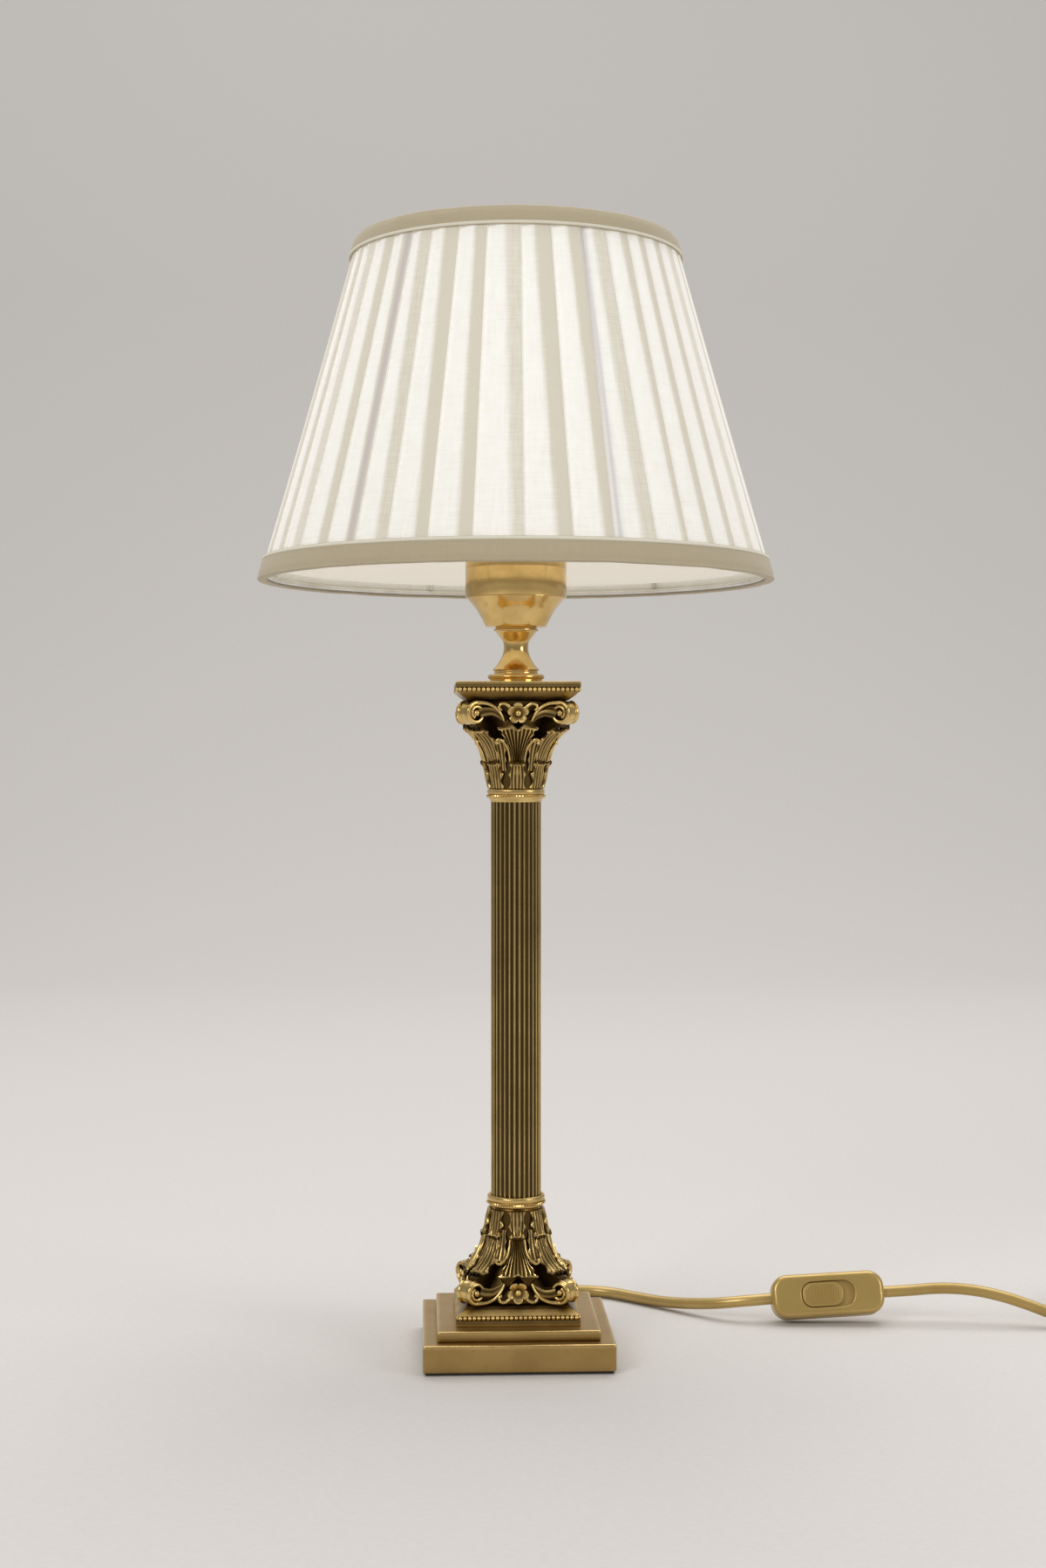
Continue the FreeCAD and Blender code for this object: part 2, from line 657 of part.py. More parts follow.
# ---------------------------------------------------------------- column and collars
def build_column():
    """The fluted tube between the two castings, and the beaded ring at each end of it."""
    body = padded("fluted_column", "column_radius", COLUMN_BOTTOM, "column_length")
    pocketed(body, "column_bore", "column_radius - column_wall", f"{COLUMN_BOTTOM} - 1", "column_length + 2")
    sketch = circle_sketch(body, "flute_outline", "XY_Plane", "column_radius + flute_radius - flute_depth", "0",
                           "flute_radius", f"{COLUMN_BOTTOM} + 1")
    groove = cut_with(body, "flute", sketch, "column_length - 2")
    pattern = body.newObject("PartDesign::PolarPattern", "flutes")
    pattern.Originals = [groove]
    pattern.Axis = (sketch, ["N_Axis"])
    pattern.Angle = 360
    pattern.setExpression("Occurrences", cells("flute_count"))
    body.Tip = pattern
    doc.recompute()

    inner = "(column_radius + collar_fit)"
    for name, bottom in (("foot_collar", COLUMN_BOTTOM), ("upper_collar", f"({COLUMN_TOP} - collar_height)")):
        profile = [(inner, bottom), ("collar_radius - 0.5", bottom), ("collar_radius - 0.2", f"{bottom} + 1.6"),
                   ("collar_rib_radius - 0.6", f"{bottom} + 2.4"), ("collar_rib_radius", f"{bottom} + 3.1"),
                   ("collar_rib_radius - 0.5", f"{bottom} + 3.9"), ("collar_radius", f"{bottom} + 4.4"),
                   ("collar_radius + 0.5", f"{bottom} + collar_height - 0.9"),
                   ("collar_radius - 0.1", f"{bottom} + collar_height"), (inner, f"{bottom} + collar_height")]
        turned(name, profile)


# ---------------------------------------------------------------- neck, bowl, sleeve
def build_neck():
    """The turned neck on the abacus, the spun bowl and the tall sleeve."""
    bottom = NECK_BOTTOM
    bore = "(tube_radius + tube_fit)"
    profile = [(bore, bottom), ("neck_foot_radius", bottom), ("neck_foot_radius", f"{bottom} + 1.6"),
               ("neck_torus_radius - 0.7", f"{bottom} + 1.8"), ("neck_torus_radius - 0.7", f"{bottom} + 4.2"),
               ("neck_groove_radius", f"{bottom} + 4.4"), ("neck_groove_radius", f"{bottom} + 6.1"),
               ("neck_groove_radius + 0.8", f"{bottom} + 6.5"), ("neck_radius", f"{bottom} + 15.8"),
               ("neck_radius", f"{bottom} + 20.0"), ("neck_ring_radius - 0.4", f"{bottom} + 26.4"),
               ("neck_ring_radius", f"{bottom} + 26.6"), ("neck_ring_radius", f"{bottom} + neck_height"),
               (bore, f"{bottom} + neck_height")]
    arcs = {3: ("1.3", 1), 7: ("10.5", -1), 9: ("7.0", -1)}
    turned("turned_neck", profile, arcs)

    bottom, top = BOWL_BOTTOM, SLEEVE_BOTTOM
    wall = "sheet_wall"
    rim = "(sleeve_radius - 0.8 - collar_fit)"
    profile = [(bore, bottom), ("bowl_floor_radius", bottom), (rim, f"{top} - 1.0"), (rim, f"{top} + bowl_spigot"),
               (f"{rim} - {wall}", f"{top} + bowl_spigot"), (f"{rim} - {wall}", f"{top} - 1.0"),
               ("bowl_floor_radius - 0.4", f"{bottom} + {wall}"), (bore, f"{bottom} + {wall}")]
    arcs = {1: ("34.0", 1), 5: ("34.0", -1)}
    turned("holder_bowl", profile, arcs)

    bottom, top = f"({SLEEVE_BOTTOM} - 0.8)", SLEEVE_TOP
    inner = "(sleeve_radius - 0.8)"
    neck = "(holder_skirt_radius + 0.4)"
    profile = [(inner, bottom), ("sleeve_radius", bottom), ("sleeve_radius", f"{SLEEVE_BOTTOM} + 13.2"),
               ("sleeve_radius - 0.25", f"{SLEEVE_BOTTOM} + 13.4"), ("sleeve_radius", f"{SLEEVE_BOTTOM} + 13.6"),
               ("sleeve_radius", f"{top} - 0.6"), ("sleeve_radius - 0.6", top), (neck, top),
               (neck, f"{top} - 0.8"), (inner, f"{top} - 0.8")]
    turned("holder_sleeve", profile)


# ---------------------------------------------------------------- lampholder
def build_lampholder():
    """The holder on the threaded tube, its inner block and contacts, and the screw ring."""
    bottom, cap_top, top = HOLDER_NUT_TOP, HOLDER_CAP_TOP, HOLDER_TOP
    outer = "holder_radius"
    bore = "(tube_radius + tube_fit)"
    profile = [(bore, bottom), ("tube_radius + 2.6", bottom), ("tube_radius + 2.6", f"{bottom} + 6"),
               (outer, f"{bottom} + 10"), (outer, cap_top), (f"{outer} - 1.8", cap_top),
               (f"{outer} - 1.8", f"{bottom} + 11.5"), ("tube_radius + 2.0", f"{bottom} + 8.0"),
               (bore, f"{bottom} + 8.0")]
    turned("lampholder_cap", profile)
    outer = "holder_skirt_radius"
    inner = "(holder_skirt_radius - 2.4)"
    profile = [(f"holder_radius - 1.8", cap_top), ("holder_skirt_radius - 1.4", cap_top), (outer, f"{cap_top} + 4"),
               (outer, top), (inner, top), (inner, f"{cap_top} + 11.0"), ("holder_radius - 1.8", f"{cap_top} + 8.5")]
    turned("lampholder_skirt", profile)
    block_top = f"({cap_top} + 15.5)"
    turned("contact_block", ring_outline("2.0", "holder_radius - 2.0", f"{cap_top} + 0.3", f"{block_top} - 7.4")[:2] +
           [("holder_radius - 2.0", f"{cap_top} + 8.0"), ("holder_bore_radius + 0.6", f"{cap_top} + 10.0"),
            ("holder_bore_radius + 0.6", block_top), ("2.0", block_top)])
    turned("centre_contact", [("0", f"{cap_top} - 3"), ("1.8", f"{cap_top} - 3"), ("1.8", f"{block_top} + 0.1"),
                              ("3.4", f"{block_top} + 0.1"), ("2.6", f"{BULB_CONTACT} - 0.3"),
                              ("0", f"{BULB_CONTACT} - 0.3")])
    turned("thread_shell", ring_outline("holder_bore_radius", "holder_bore_radius + 0.5",
                                        f"{block_top} + 0.1", f"{top} - 1.0"))
    screws = []
    for side in (-1, 1):
        place = Vector(side * 9.0, 0, size(f"{cap_top} - 3"))
        head = Part.makeCylinder(2.2, 1.6, place + Vector(0, 0, 1.6))
        shank = Part.makeCylinder(1.4, 3.2 - 0.2, place + Vector(0, 0, -1.4))
        screws.append(head.fuse(shank))
    feature("terminal_screws", Part.makeCompound(screws))

    inner = "(holder_skirt_radius + ring_fit)"
    ring = turned("shade_ring", [(inner, RING_BOTTOM), ("ring_radius", RING_BOTTOM),
                                 ("ring_radius", f"{RING_BOTTOM} + ring_height - 1"),
                                 ("ring_radius - 1", f"{RING_BOTTOM} + ring_height"),
                                 (inner, f"{RING_BOTTOM} + ring_height")])
    return ring


# ---------------------------------------------------------------- bulb
def build_bulb():
    """A screw-cap bulb: glass envelope, screw shell, insulator, end contact and filament mount."""
    contact = BULB_CONTACT
    cap_bottom, cap_top = f"({contact} + 3.0)", f"({contact} + 3.0 + bulb_cap_height)"
    centre = f"({cap_top} + bulb_centre_height - 8)"
    neck = "(bulb_cap_radius - 0.9)"
    wall = "bulb_wall"
    outer = "bulb_radius"
    profile = [(f"{neck} - {wall}", f"{cap_top} - 5"), (neck, f"{cap_top} - 5"), (neck, f"{cap_top} + 4"),
               (f"{outer} * 0.8", f"{centre} - {outer} * 0.6"), ("0", f"{centre} + {outer}"),
               ("0", f"{centre} + {outer} - {wall}"),
               (f"({outer} - {wall}) * 0.8", f"{centre} - ({outer} - {wall}) * 0.6"),
               (f"{neck} - {wall}", f"{cap_top} + 4.4")]
    arcs = {3: (outer, 1), 5: (f"{outer} - {wall}", -1)}
    turned("bulb_glass", profile, arcs)
    rim = "bulb_cap_radius"
    turned("bulb_cap", [("5.6", cap_bottom), ("9.5", cap_bottom), (rim, f"{cap_bottom} + 4"), (rim, cap_top),
                        (f"{rim} - 0.7", cap_top), (f"{rim} - 0.7", f"{cap_bottom} + 4.3"),
                        ("9.2", f"{cap_bottom} + 0.7"), ("5.6", f"{cap_bottom} + 0.7")])
    turned("bulb_insulator", [("2.5", f"{contact} + 1.0"), ("3.4", f"{contact} + 1.0"), ("5.4", cap_bottom),
                              ("5.4", f"{cap_bottom} + 0.7"), ("2.5", f"{cap_bottom} + 0.7")])
    turned("bulb_contact", [("0", contact), ("3.0", contact), ("3.0", f"{contact} + 0.9"),
                            ("2.3", f"{contact} + 1.0"), ("2.3", f"{contact} + 3.6"), ("0", f"{contact} + 3.6")])
    stem_top = f"({cap_top} + 22)"
    turned("bulb_stem", [("0", f"{cap_top} - 4.8"), (f"{neck} - {wall} - 0.2", f"{cap_top} - 4.8"),
                         (f"{neck} - {wall} - 0.2", f"{cap_top} - 3.0"), ("4.0", f"{cap_top} - 1.0"),
                         ("2.2", f"{cap_top} + 10"), ("2.2", stem_top), ("0", stem_top)])


# ---------------------------------------------------------------- shade
def cone_radius(height):
    """The shade's outer radius at a height above its lower edge."""
    bottom, top = size("shade_bottom_radius"), size("shade_top_radius")
    return bottom + (top - bottom) * height / size("shade_height")


def cone_shell(low, high, offset, thickness):
    """A slanted band of the shade: offset is how far its outside lies within the shade's outside."""
    level = size("shade_bottom")
    outer_low, outer_high = cone_radius(low) - offset, cone_radius(high) - offset
    outline = [Vector(outer_low, 0, level + low), Vector(outer_high, 0, level + high),
               Vector(outer_high - thickness, 0, level + high), Vector(outer_low - thickness, 0, level + low)]
    return Part.Face(Part.makePolygon(outline + outline[:1])).revolve(Vector(), Vector(0, 0, 1), 360)


def pleat_wire(radius, height, depth):
    """A closed zigzag of knife pleats: each has a long face and a short tucked one."""
    count = int(size("pleat_count"))
    points = []
    for number in range(count):
        for share, rise in ((0.0, 0.0), (0.72, depth), (0.88, 0.0)):
            angle = 2 * math.pi * (number + share) / count
            reach = (radius + rise) / 1.0
            points.append(Vector(reach * math.cos(angle), reach * math.sin(angle), height))
    return Part.makePolygon(points + points[:1])


def build_shade():
    """The wire frame with its fitter, the pleated cover, the lining and the two trims."""
    level, height = size("shade_bottom"), size("shade_height")
    wire, depth = size("shade_ring_radius"), size("pleat_depth")
    trim, cloth, gap = size("trim_thickness"), size("cloth_thickness"), size("cloth_gap")
    chord_dip = size("shade_bottom_radius") * (1 - math.cos(math.pi / size("pleat_count")))
    cover_outside = trim + gap
    ring_inset = cover_outside + depth + cloth + chord_dip + gap + wire
    low, high = size("trim_thickness + cloth_gap") + wire + 0.3, height - trim - gap - wire - 0.3
    low_radius, high_radius = cone_radius(low) - ring_inset, cone_radius(high) - ring_inset
    feature("frame_bottom_ring", Part.makeTorus(low_radius, wire, Vector(0, 0, level + low)))
    feature("frame_top_ring", Part.makeTorus(high_radius, wire, Vector(0, 0, level + high)))

    strut = size("strut_radius")
    start = Vector(low_radius, 0, level + low)
    end = Vector(high_radius, 0, level + high)
    way = (end - start).normalize()
    start += way * (wire + 0.15)
    end -= way * (wire + 0.15)
    one = Part.makeCylinder(strut, (end - start).Length, start, way)
    feature("frame_struts", Part.makeCompound(around(one, int(size("strut_count")), -90 + size("strut_turn"))))

    arm = size("arm_radius")
    ring_top = size(FITTER_TOP)
    ring_outer = size("ring_radius - 0.6")
    fitter = Part.makeCylinder(ring_outer, size("fitter_thickness"), Vector(0, 0, size(FITTER_BOTTOM)))
    hole = size("holder_skirt_radius + ring_fit")
    fitter = fitter.cut(Part.makeCylinder(hole, 10, Vector(0, 0, size(FITTER_BOTTOM) - 4)))
    crank = Vector(size("sleeve_radius") + 7, 0, ring_top - arm)
    inner = Vector(ring_outer - 1.0, 0, crank.z)
    outer = Vector(low_radius, 0, level + low)
    outer -= (outer - crank).normalize() * (wire + 0.15)
    reach = (outer - crank).normalize()
    bend = 6.0
    bend_start, bend_end = crank - Vector(bend, 0, 0), crank + reach * bend
    middle = (bend_start + bend_end) * 0.5 * 0.5 + crank * 0.5
    path = Part.Wire([Part.makeLine(inner, bend_start), Part.Arc(bend_start, middle, bend_end).toShape(),
                      Part.makeLine(bend_end, outer)])
    section = Part.Wire([Part.Circle(inner, Vector(1, 0, 0), arm).toShape()])
    one = path.makePipeShell([section], True, False)
    solid = fitter.multiFuse(around(one, int(size("arm_count")), 90.0))
    solid = solid.cut(Part.makeCylinder(size("ring_radius + 0.6"), 10, Vector(0, 0, ring_top)))
    below = Part.makeCylinder(size("sleeve_radius + 0.4"), 10, Vector(0, 0, size(FITTER_BOTTOM) - 10))
    solid = solid.cut(below)
    solid = solid.cut(Part.makeCylinder(hole, 10, Vector(0, 0, size(FITTER_BOTTOM) - 4)))
    feature("shade_fitter", solid)

    bottom_edge, top_edge = trim + gap, height - trim - gap
    outer_low = cone_radius(bottom_edge) - cover_outside - depth
    outer_high = cone_radius(top_edge) - cover_outside - depth
    outside = Part.makeLoft([pleat_wire(outer_low, level + bottom_edge, depth),
                             pleat_wire(outer_high, level + top_edge, depth)], True, True)
    slant = (outer_low - outer_high) / (top_edge - bottom_edge)
    over = 5.0
    inside = Part.makeLoft([pleat_wire(outer_low - cloth + slant * over, level + bottom_edge - over, 0.0),
                            pleat_wire(outer_high - cloth - slant * over, level + top_edge + over, 0.0)], True, True)
    feature("shade_cover", outside.cut(inside))

    lining_offset = ring_inset + strut + gap
    feature("shade_lining", cone_shell(low + wire + 4.0, high - wire - 3.0, lining_offset, size("lining_thickness")))

    band = cone_shell(0.0, size("bottom_trim_height"), 0.0, trim)
    lip = Part.makeCylinder(cone_radius(0) - 0.05, trim, Vector(0, 0, level))
    lip = lip.cut(Part.makeCylinder(low_radius - wire, trim + 2, Vector(0, 0, level - 1)))
    feature("bottom_trim", band.fuse(lip).removeSplitter())
    band = cone_shell(height - size("top_trim_height"), height, 0.0, trim)
    lip = Part.makeCylinder(cone_radius(height) - 0.05, trim, Vector(0, 0, level + height - trim))
    lip = lip.cut(Part.makeCylinder(high_radius - wire, trim + 2, Vector(0, 0, level + height - trim - 1)))
    feature("top_trim", band.fuse(lip).removeSplitter())


# ---------------------------------------------------------------- lead, switch, plug
def smooth_path(points, note):
    """Straight runs joined by tangent arcs, each as large as its two runs allow."""
    edges = []
    start = points[0]
    tightest = None
    for before, corner, after in zip(points, points[1:], points[2:]):
        incoming, outgoing = corner - before, after - corner
        turn = incoming.getAngle(outgoing)
        shorter = min(incoming.Length, outgoing.Length)
        radius = 0.45 * shorter / math.tan(turn / 2)
        cut = 0.45 * shorter
        first = corner - Vector(incoming).normalize() * cut
        last = corner + Vector(outgoing).normalize() * cut
        inward = (Vector(outgoing).normalize() - Vector(incoming).normalize()).normalize()
        centre = corner + inward * math.hypot(radius, cut)
        middle = centre - inward * radius
        edges.append(Part.makeLine(start, first))
        edges.append(Part.Arc(first, middle, last).toShape())
        tightest = radius if tightest is None else min(tightest, radius)
        start = last
    edges.append(Part.makeLine(start, points[-1]))
    wire = Part.Wire(edges)
    print(f"{note}: length {wire.Length:.1f} mm, tightest radius {tightest:.1f} mm")
    return wire


def tube_along(wire, radius, note):
    """A round tube along a wire, its volume compared with section times length."""
    edge = wire.Edges[0]
    start = edge.valueAt(edge.FirstParameter)
    direction = edge.tangentAt(edge.FirstParameter)
    section = Part.Wire([Part.Circle(start, direction, radius).toShape()])
    solid = wire.makePipeShell([section], True, False)
    ideal = math.pi * radius**2 * wire.Length
    print(f"{note}: volume {solid.Volume:.0f} mm3, section times length {ideal:.0f} mm3")
    if abs(solid.Volume / ideal - 1) > 0.02:
        raise RuntimeError(note + " has the wrong volume")
    return solid


def switch_placement():
    """Where the switch stands: length along +X, slider face towards -Y before it leans."""
    lean = Rotation(Vector(1, 0, 0), -SWITCH_LEAN)
    lift = Rotation(Vector(0, 1, 0), -SWITCH_LIFT)
    turn = Rotation(Vector(0, 0, 1), SWITCH_TURN)
    return Placement(SWITCH_MIDDLE, turn * lift * lean)


def rounded_slab(length, width, bottom, top, corner):
    """A slab with round corners, standing along +Y between two depths."""
    half, side = length / 2, width / 2
    box = Part.makeBox(length, top - bottom, width, Vector(-half, bottom, -side))
    edges = [edge for edge in box.Edges if abs(edge.Vertexes[0].Y - edge.Vertexes[1].Y) > 1e-3]
    return box.makeFillet(corner, edges)


def build_switch():
    """The two shells of the in-line switch, its slider and its screws."""
    place = switch_placement()
    length, width, thickness = size("switch_length"), size("switch_width"), size("switch_thickness")
    corner, edge_radius = size("switch_corner_radius"), size("switch_edge_radius")
    front, back = -thickness / 2, thickness / 2
    split = 1.0
    gap = 0.05
    upper = rounded_slab(length, width, front, split - gap, corner)
    rim = [edge for edge in upper.Edges if all(abs(v.Y - front) < 1e-3 for v in edge.Vertexes)]
    upper = upper.makeFillet(edge_radius, rim)
    recess_length, recess_width = size("recess_length"), size("recess_width")
    recess = Part.makeBox(recess_length, size("recess_depth") + 1, recess_width,
                          Vector(-recess_length / 2, front - 1, -recess_width / 2))
    upper = upper.cut(recess)
    slot = Part.makeBox(size("slider_travel") + 8, 20, 5.0,
                        Vector(-(size("slider_travel") + 8) / 2, front - 1, -2.5))
    hollow = rounded_slab(length - 14, width - 8, front + size("recess_depth") + 1.6, split, corner - 5)
    upper = upper.cut(slot).cut(hollow)
    feature("switch_front_shell", upper, place)
    lower = rounded_slab(length, width, split, back, corner)
    rim = [edge for edge in lower.Edges if all(abs(v.Y - back) < 1e-3 for v in edge.Vertexes)]
    lower = lower.makeFillet(edge_radius, rim)
    lower = lower.cut(rounded_slab(length - 14, width - 8, split - 1, back - 2.0, corner - 5))
    screws = []
    for side in (-1, 1):
        spot = Vector(side * (length / 2 - 4.6), 0, 0)
        hole = Part.makeCylinder(2.6, 1.6, spot + Vector(0, back - 1.5, 0), Vector(0, 1, 0))
        lower = lower.cut(hole)
        screws.append(Part.makeCylinder(2.4, 1.2, spot + Vector(0, back - 1.45, 0), Vector(0, 1, 0)))
    feature("switch_back_shell", lower, place)
    feature("switch_screws", Part.makeCompound(screws), place)

    slider_length, slider_width = size("slider_length"), size("slider_width")
    left = -recess_length / 2 + 0.45
    floor = front + size("recess_depth") - 0.3
    button = Part.makeBox(slider_length, size("slider_height"), slider_width,
                          Vector(left, floor - size("slider_height"), -slider_width / 2))
    corners = [edge for edge in button.Edges if abs(edge.Vertexes[0].Y - edge.Vertexes[1].Y) > 1e-3]
    button = button.makeChamfer(2.2, corners)
    count = int(size("slider_ribs"))
    pitch = (slider_length - 3.0) / count
    for number in range(count):
        across = left + 1.5 + pitch * (number + 0.5)
        button = button.cut(Part.makeBox(pitch * 0.45, 1.0, slider_width + 2,
                                         Vector(across - pitch * 0.22, floor - size("slider_height") - 0.5,
                                                -slider_width / 2 - 1)))
    stem_left = left + slider_length / 2 - 3.5
    stem = Part.makeBox(7.0, 5.2, 4.4, Vector(stem_left, floor, -2.2))
    feature("switch_slider", button.fuse(stem).removeSplitter(), place)
    return place


def plug_solids():
    """A flat two-pin plug along +X from its lead's end, and its two pins."""
    length, width, thickness = size("plug_length"), size("plug_width"), size("plug_thickness")
    sections = []
    for share, across, deep in ((0.0, 8.6, 8.6), (0.28, 10.0, 9.6), (0.62, width - 2, thickness),
                                (1.0, width, thickness)):
        corner = min(across, deep) * 0.32
        face = Part.makePlane(across, deep, Vector(0, -across / 2, -deep / 2), Vector(1, 0, 0))
        centre = face.BoundBox.Center
        face.translate(Vector(share * length, 0, 0) - centre)
        outline = face.OuterWire
        edges = outline.Edges
        sections.append((share * length, across, deep, corner, edges))
    wires = []
    for level, across, deep, corner, _ in sections:
        half, up = across / 2, deep / 2
        spots = [(-half + corner, -up), (half - corner, -up), (half, -up + corner), (half, up - corner),
                 (half - corner, up), (-half + corner, up), (-half, up - corner), (-half, -up + corner)]
        points = [Vector(level, y, z) for y, z in spots]
        wires.append(Part.makePolygon(points + points[:1]))
    body = Part.makeLoft(wires, True, True)
    pins = []
    for side in (-1, 1):
        foot = Vector(length, side * size("pin_spacing") / 2, 0)
        pin = Part.makeCylinder(size("pin_radius"), size("pin_length") - 1, foot, Vector(1, 0, 0))
        tip = Part.makeCone(size("pin_radius"), size("pin_radius") * 0.6, 1.0,
                            foot + Vector(size("pin_length") - 1, 0, 0), Vector(1, 0, 0))
        pins.append(pin.fuse(tip).removeSplitter())
    return body, Part.makeCompound(pins)


def coil_places():
    """Points of the coil a quarter turn apart with their directions, from the outside in and out again."""
    inner, pitch = size("coil_inner_radius"), size("coil_pitch")
    turns_in, turns_out = size("coil_turns_in"), size("coil_turns_out")
    rise = size("coil_layer_rise")
    floor = size("cord_radius") + FLOOR_CLEARANCE
    first = math.radians(COIL_START_ANGLE)
    places = []

    def spot(turn):
        """Radius and height of the lead after a number of turns."""
        if turn <= turns_in:
            return inner + pitch * (turns_in - turn), floor
        if turn < turns_in + 0.5:
            share = (turn - turns_in) / 0.5
            dip = pitch * share * (1 - share) / 2
            return inner - dip, floor + rise * (share - math.sin(2 * math.pi * share) / (2 * math.pi))
        return inner + pitch * (turn - turns_in - 0.5), floor + rise

    def place(turn):
        radius, height = spot(turn)
        angle = first + 2 * math.pi * turn
        return COIL_MIDDLE + Vector(radius * math.cos(angle), radius * math.sin(angle), height)

    quarters = int(round((turns_in + 0.5 + turns_out) * 4))
    step = 1e-4
    for quarter in range(quarters + 1):
        turn = quarter / 4.0
        ahead = place(min(turn + step, quarters / 4.0))
        behind = place(max(turn - step, 0.0))
        places.append((place(turn), (ahead - behind).normalize()))
    return places


def biarc(start, start_way, end, end_way):
    """Two arcs that join smoothly from one place and direction to another."""
    chord = end - start
    both = start_way + end_way
    bend = 2 * (1 - start_way.dot(end_way))
    reach = (-chord.dot(both) + math.sqrt(chord.dot(both) ** 2 + bend * chord.dot(chord))) / bend
    joint = (start + start_way * reach + end - end_way * reach) * 0.5
    edges = []
    for point, way, target in ((start, start_way, joint), (end, end_way * -1, joint)):
        span = target - point
        out = span - way * span.dot(way)
        radius = span.dot(span) / (2 * out.Length)
        centre = point + Vector(out).normalize() * radius
        half = ((point + target) * 0.5 - centre).normalize() * radius
        ends = (point, centre + half, target) if point is start else (target, centre + half, point)
        edges.append(Part.Arc(*ends).toShape())
    return edges


def coil_wire():
    """The coil's centre line, straight for one diameter at each end."""
    places = coil_places()
    lead = 2 * size("cord_radius")
    edges = [Part.makeLine(places[0][0] - places[0][1] * lead, places[0][0])]
    for (start, start_way), (end, end_way) in zip(places, places[1:]):
        edges += biarc(start, start_way, end, end_way)
    edges.append(Part.makeLine(places[-1][0], places[-1][0] + places[-1][1] * lead))
    wire = Part.Wire(edges)
    samples = wire.discretize(1500)
    step = wire.Length / 1499
    skip = int(14.0 / step)
    least = min((first - second).Length for index, first in enumerate(samples[::3])
                for second in samples[index * 3 + skip::3])
    print(f"coil: length {wire.Length:.1f} mm, least gap to itself {least - lead:.2f} mm")
    return wire, places


def build_lead():
    """Strain relief, the lead inside and outside the lamp, the coil and the plug."""
    back = size("base_side / 2")
    across, height = size("exit_across"), size("exit_height")
    radius = size("cord_radius")
    gland_end = Vector(across, back - size("base_wall") + size("gland_length"), height)
    flange = size("gland_radius + gland_flange")
    outline = [Vector(0, 0, 0), Vector(flange, 0, 0), Vector(flange, 1.6, 0),
               Vector(size("gland_radius"), 1.6, 0), Vector(size("gland_radius"), 1.6 + size("base_wall"), 0),
               Vector(size("gland_radius + 0.8"), 1.6 + size("base_wall"), 0),
               Vector(radius + 0.7, size("gland_length + 1.4"), 0), Vector(radius + 0.1, size("gland_length + 1.6"), 0),
               Vector(0, size("gland_length + 1.6"), 0)]
    gland = Part.Face(Part.makePolygon(outline + outline[:1])).revolve(Vector(), Vector(0, 1, 0), 360)
    gland.translate(Vector(across, back - size("base_wall") - 1.6, height))
    feature("strain_relief", gland)

    core = size("inner_lead_radius")
    low = size("felt_thickness") + core + 0.4
    inner_start = Vector(across, back - size("base_wall") - 1.6, height)
    bend = 6.6
    route = [inner_start, Vector(across * 0.9, 33, height - 0.6), Vector(across * 0.5, 22, low + 0.6)]
    turn_start, turn_end = Vector(0, bend, low), Vector(0, 0, low + bend)
    centre = Vector(0, bend, low + bend)
    middle = centre + Vector(0, -bend, -bend).normalize() * bend
    holder = Vector(0, 0, size(f"{TUBE_TOP} - 3"))
    lines = smooth_path(route + [Vector(0, bend + 3.2, low), turn_start - Vector(0, 0.01, 0)], "inner lead")
    upper = Part.Wire([Part.Arc(turn_start - Vector(0, 0.01, 0), middle, turn_end).toShape(),
                       Part.makeLine(turn_end, holder)])
    feature("inner_lead", tube_along(Part.Wire(lines.Edges + upper.Edges), core, "inner lead"))

    place = build_switch()
    half = size("switch_length") / 2
    left_end = place.multVec(Vector(-half, 0, 0))
    right_end = place.multVec(Vector(half, 0, 0))
    print("switch ends", left_end, right_end)
    short = [gland_end] + [Vector(*point) for point in SHORT_ROUTE] + [left_end]
    feature("cord_to_switch", tube_along(smooth_path(short, "lead to switch"), radius, "lead to switch"))
    coil, places = coil_wire()
    coil_start = coil.Edges[0].valueAt(coil.Edges[0].FirstParameter)
    approach = coil_start - places[0][1] * size("5 * cord_radius")
    long_way = [right_end] + [Vector(*point) for point in LONG_ROUTE] + [approach, coil_start]
    feature("cord_to_coil", tube_along(smooth_path(long_way, "lead to coil"), radius, "lead to coil"))
    feature("cord_coil", tube_along(coil, radius, "coil"))

    lead = 2 * radius
    tail_start = places[-1][0] + places[-1][1] * lead
    way = Vector(places[-1][1])
    side = Vector(-way.y, way.x, 0)
    plug_height = size("plug_thickness") / 2 + FLOOR_CLEARANCE
    drop = plug_height - tail_start.z
    tail = [tail_start, tail_start + way * 10, tail_start + way * 21 + Vector(0, 0, drop * 0.5) + side * 0.4,
            tail_start + way * 32 + Vector(0, 0, drop) + side * 1.2,
            tail_start + way * 42 + Vector(0, 0, drop) + side * 2.4]
    feature("cord_tail", tube_along(smooth_path(tail, "lead to plug"), radius, "lead to plug"))
    last = (tail[-1] - tail[-2]).normalize()
    plug_place = Placement(tail[-1], Rotation(Vector(1, 0, 0), last))
    body, pins = plug_solids()
    feature("plug_body", body, plug_place)
    feature("plug_pins", pins, plug_place)
    print("tail", tail, "plug way", last)


def write_parts():
    """Checks every object and writes each node to its own file."""
    doc.recompute()
    nodes = []
    for item in doc.Objects:
        if "Invalid" in item.State or "Error" in item.State:
            raise RuntimeError(f"{item.Label} is {item.State}")
        if item.TypeId in ("PartDesign::Body", "Part::Feature"):
            nodes.append(item)
    for item in nodes:
        if item.Shape.isNull() or not item.Shape.isValid():
            raise RuntimeError(item.Label + " has no valid shape")
    os.makedirs("parts", exist_ok=True)
    for item in nodes:
        item.Shape.exportStep(f"parts/{item.Label}.step")
    print(len(nodes), "nodes")


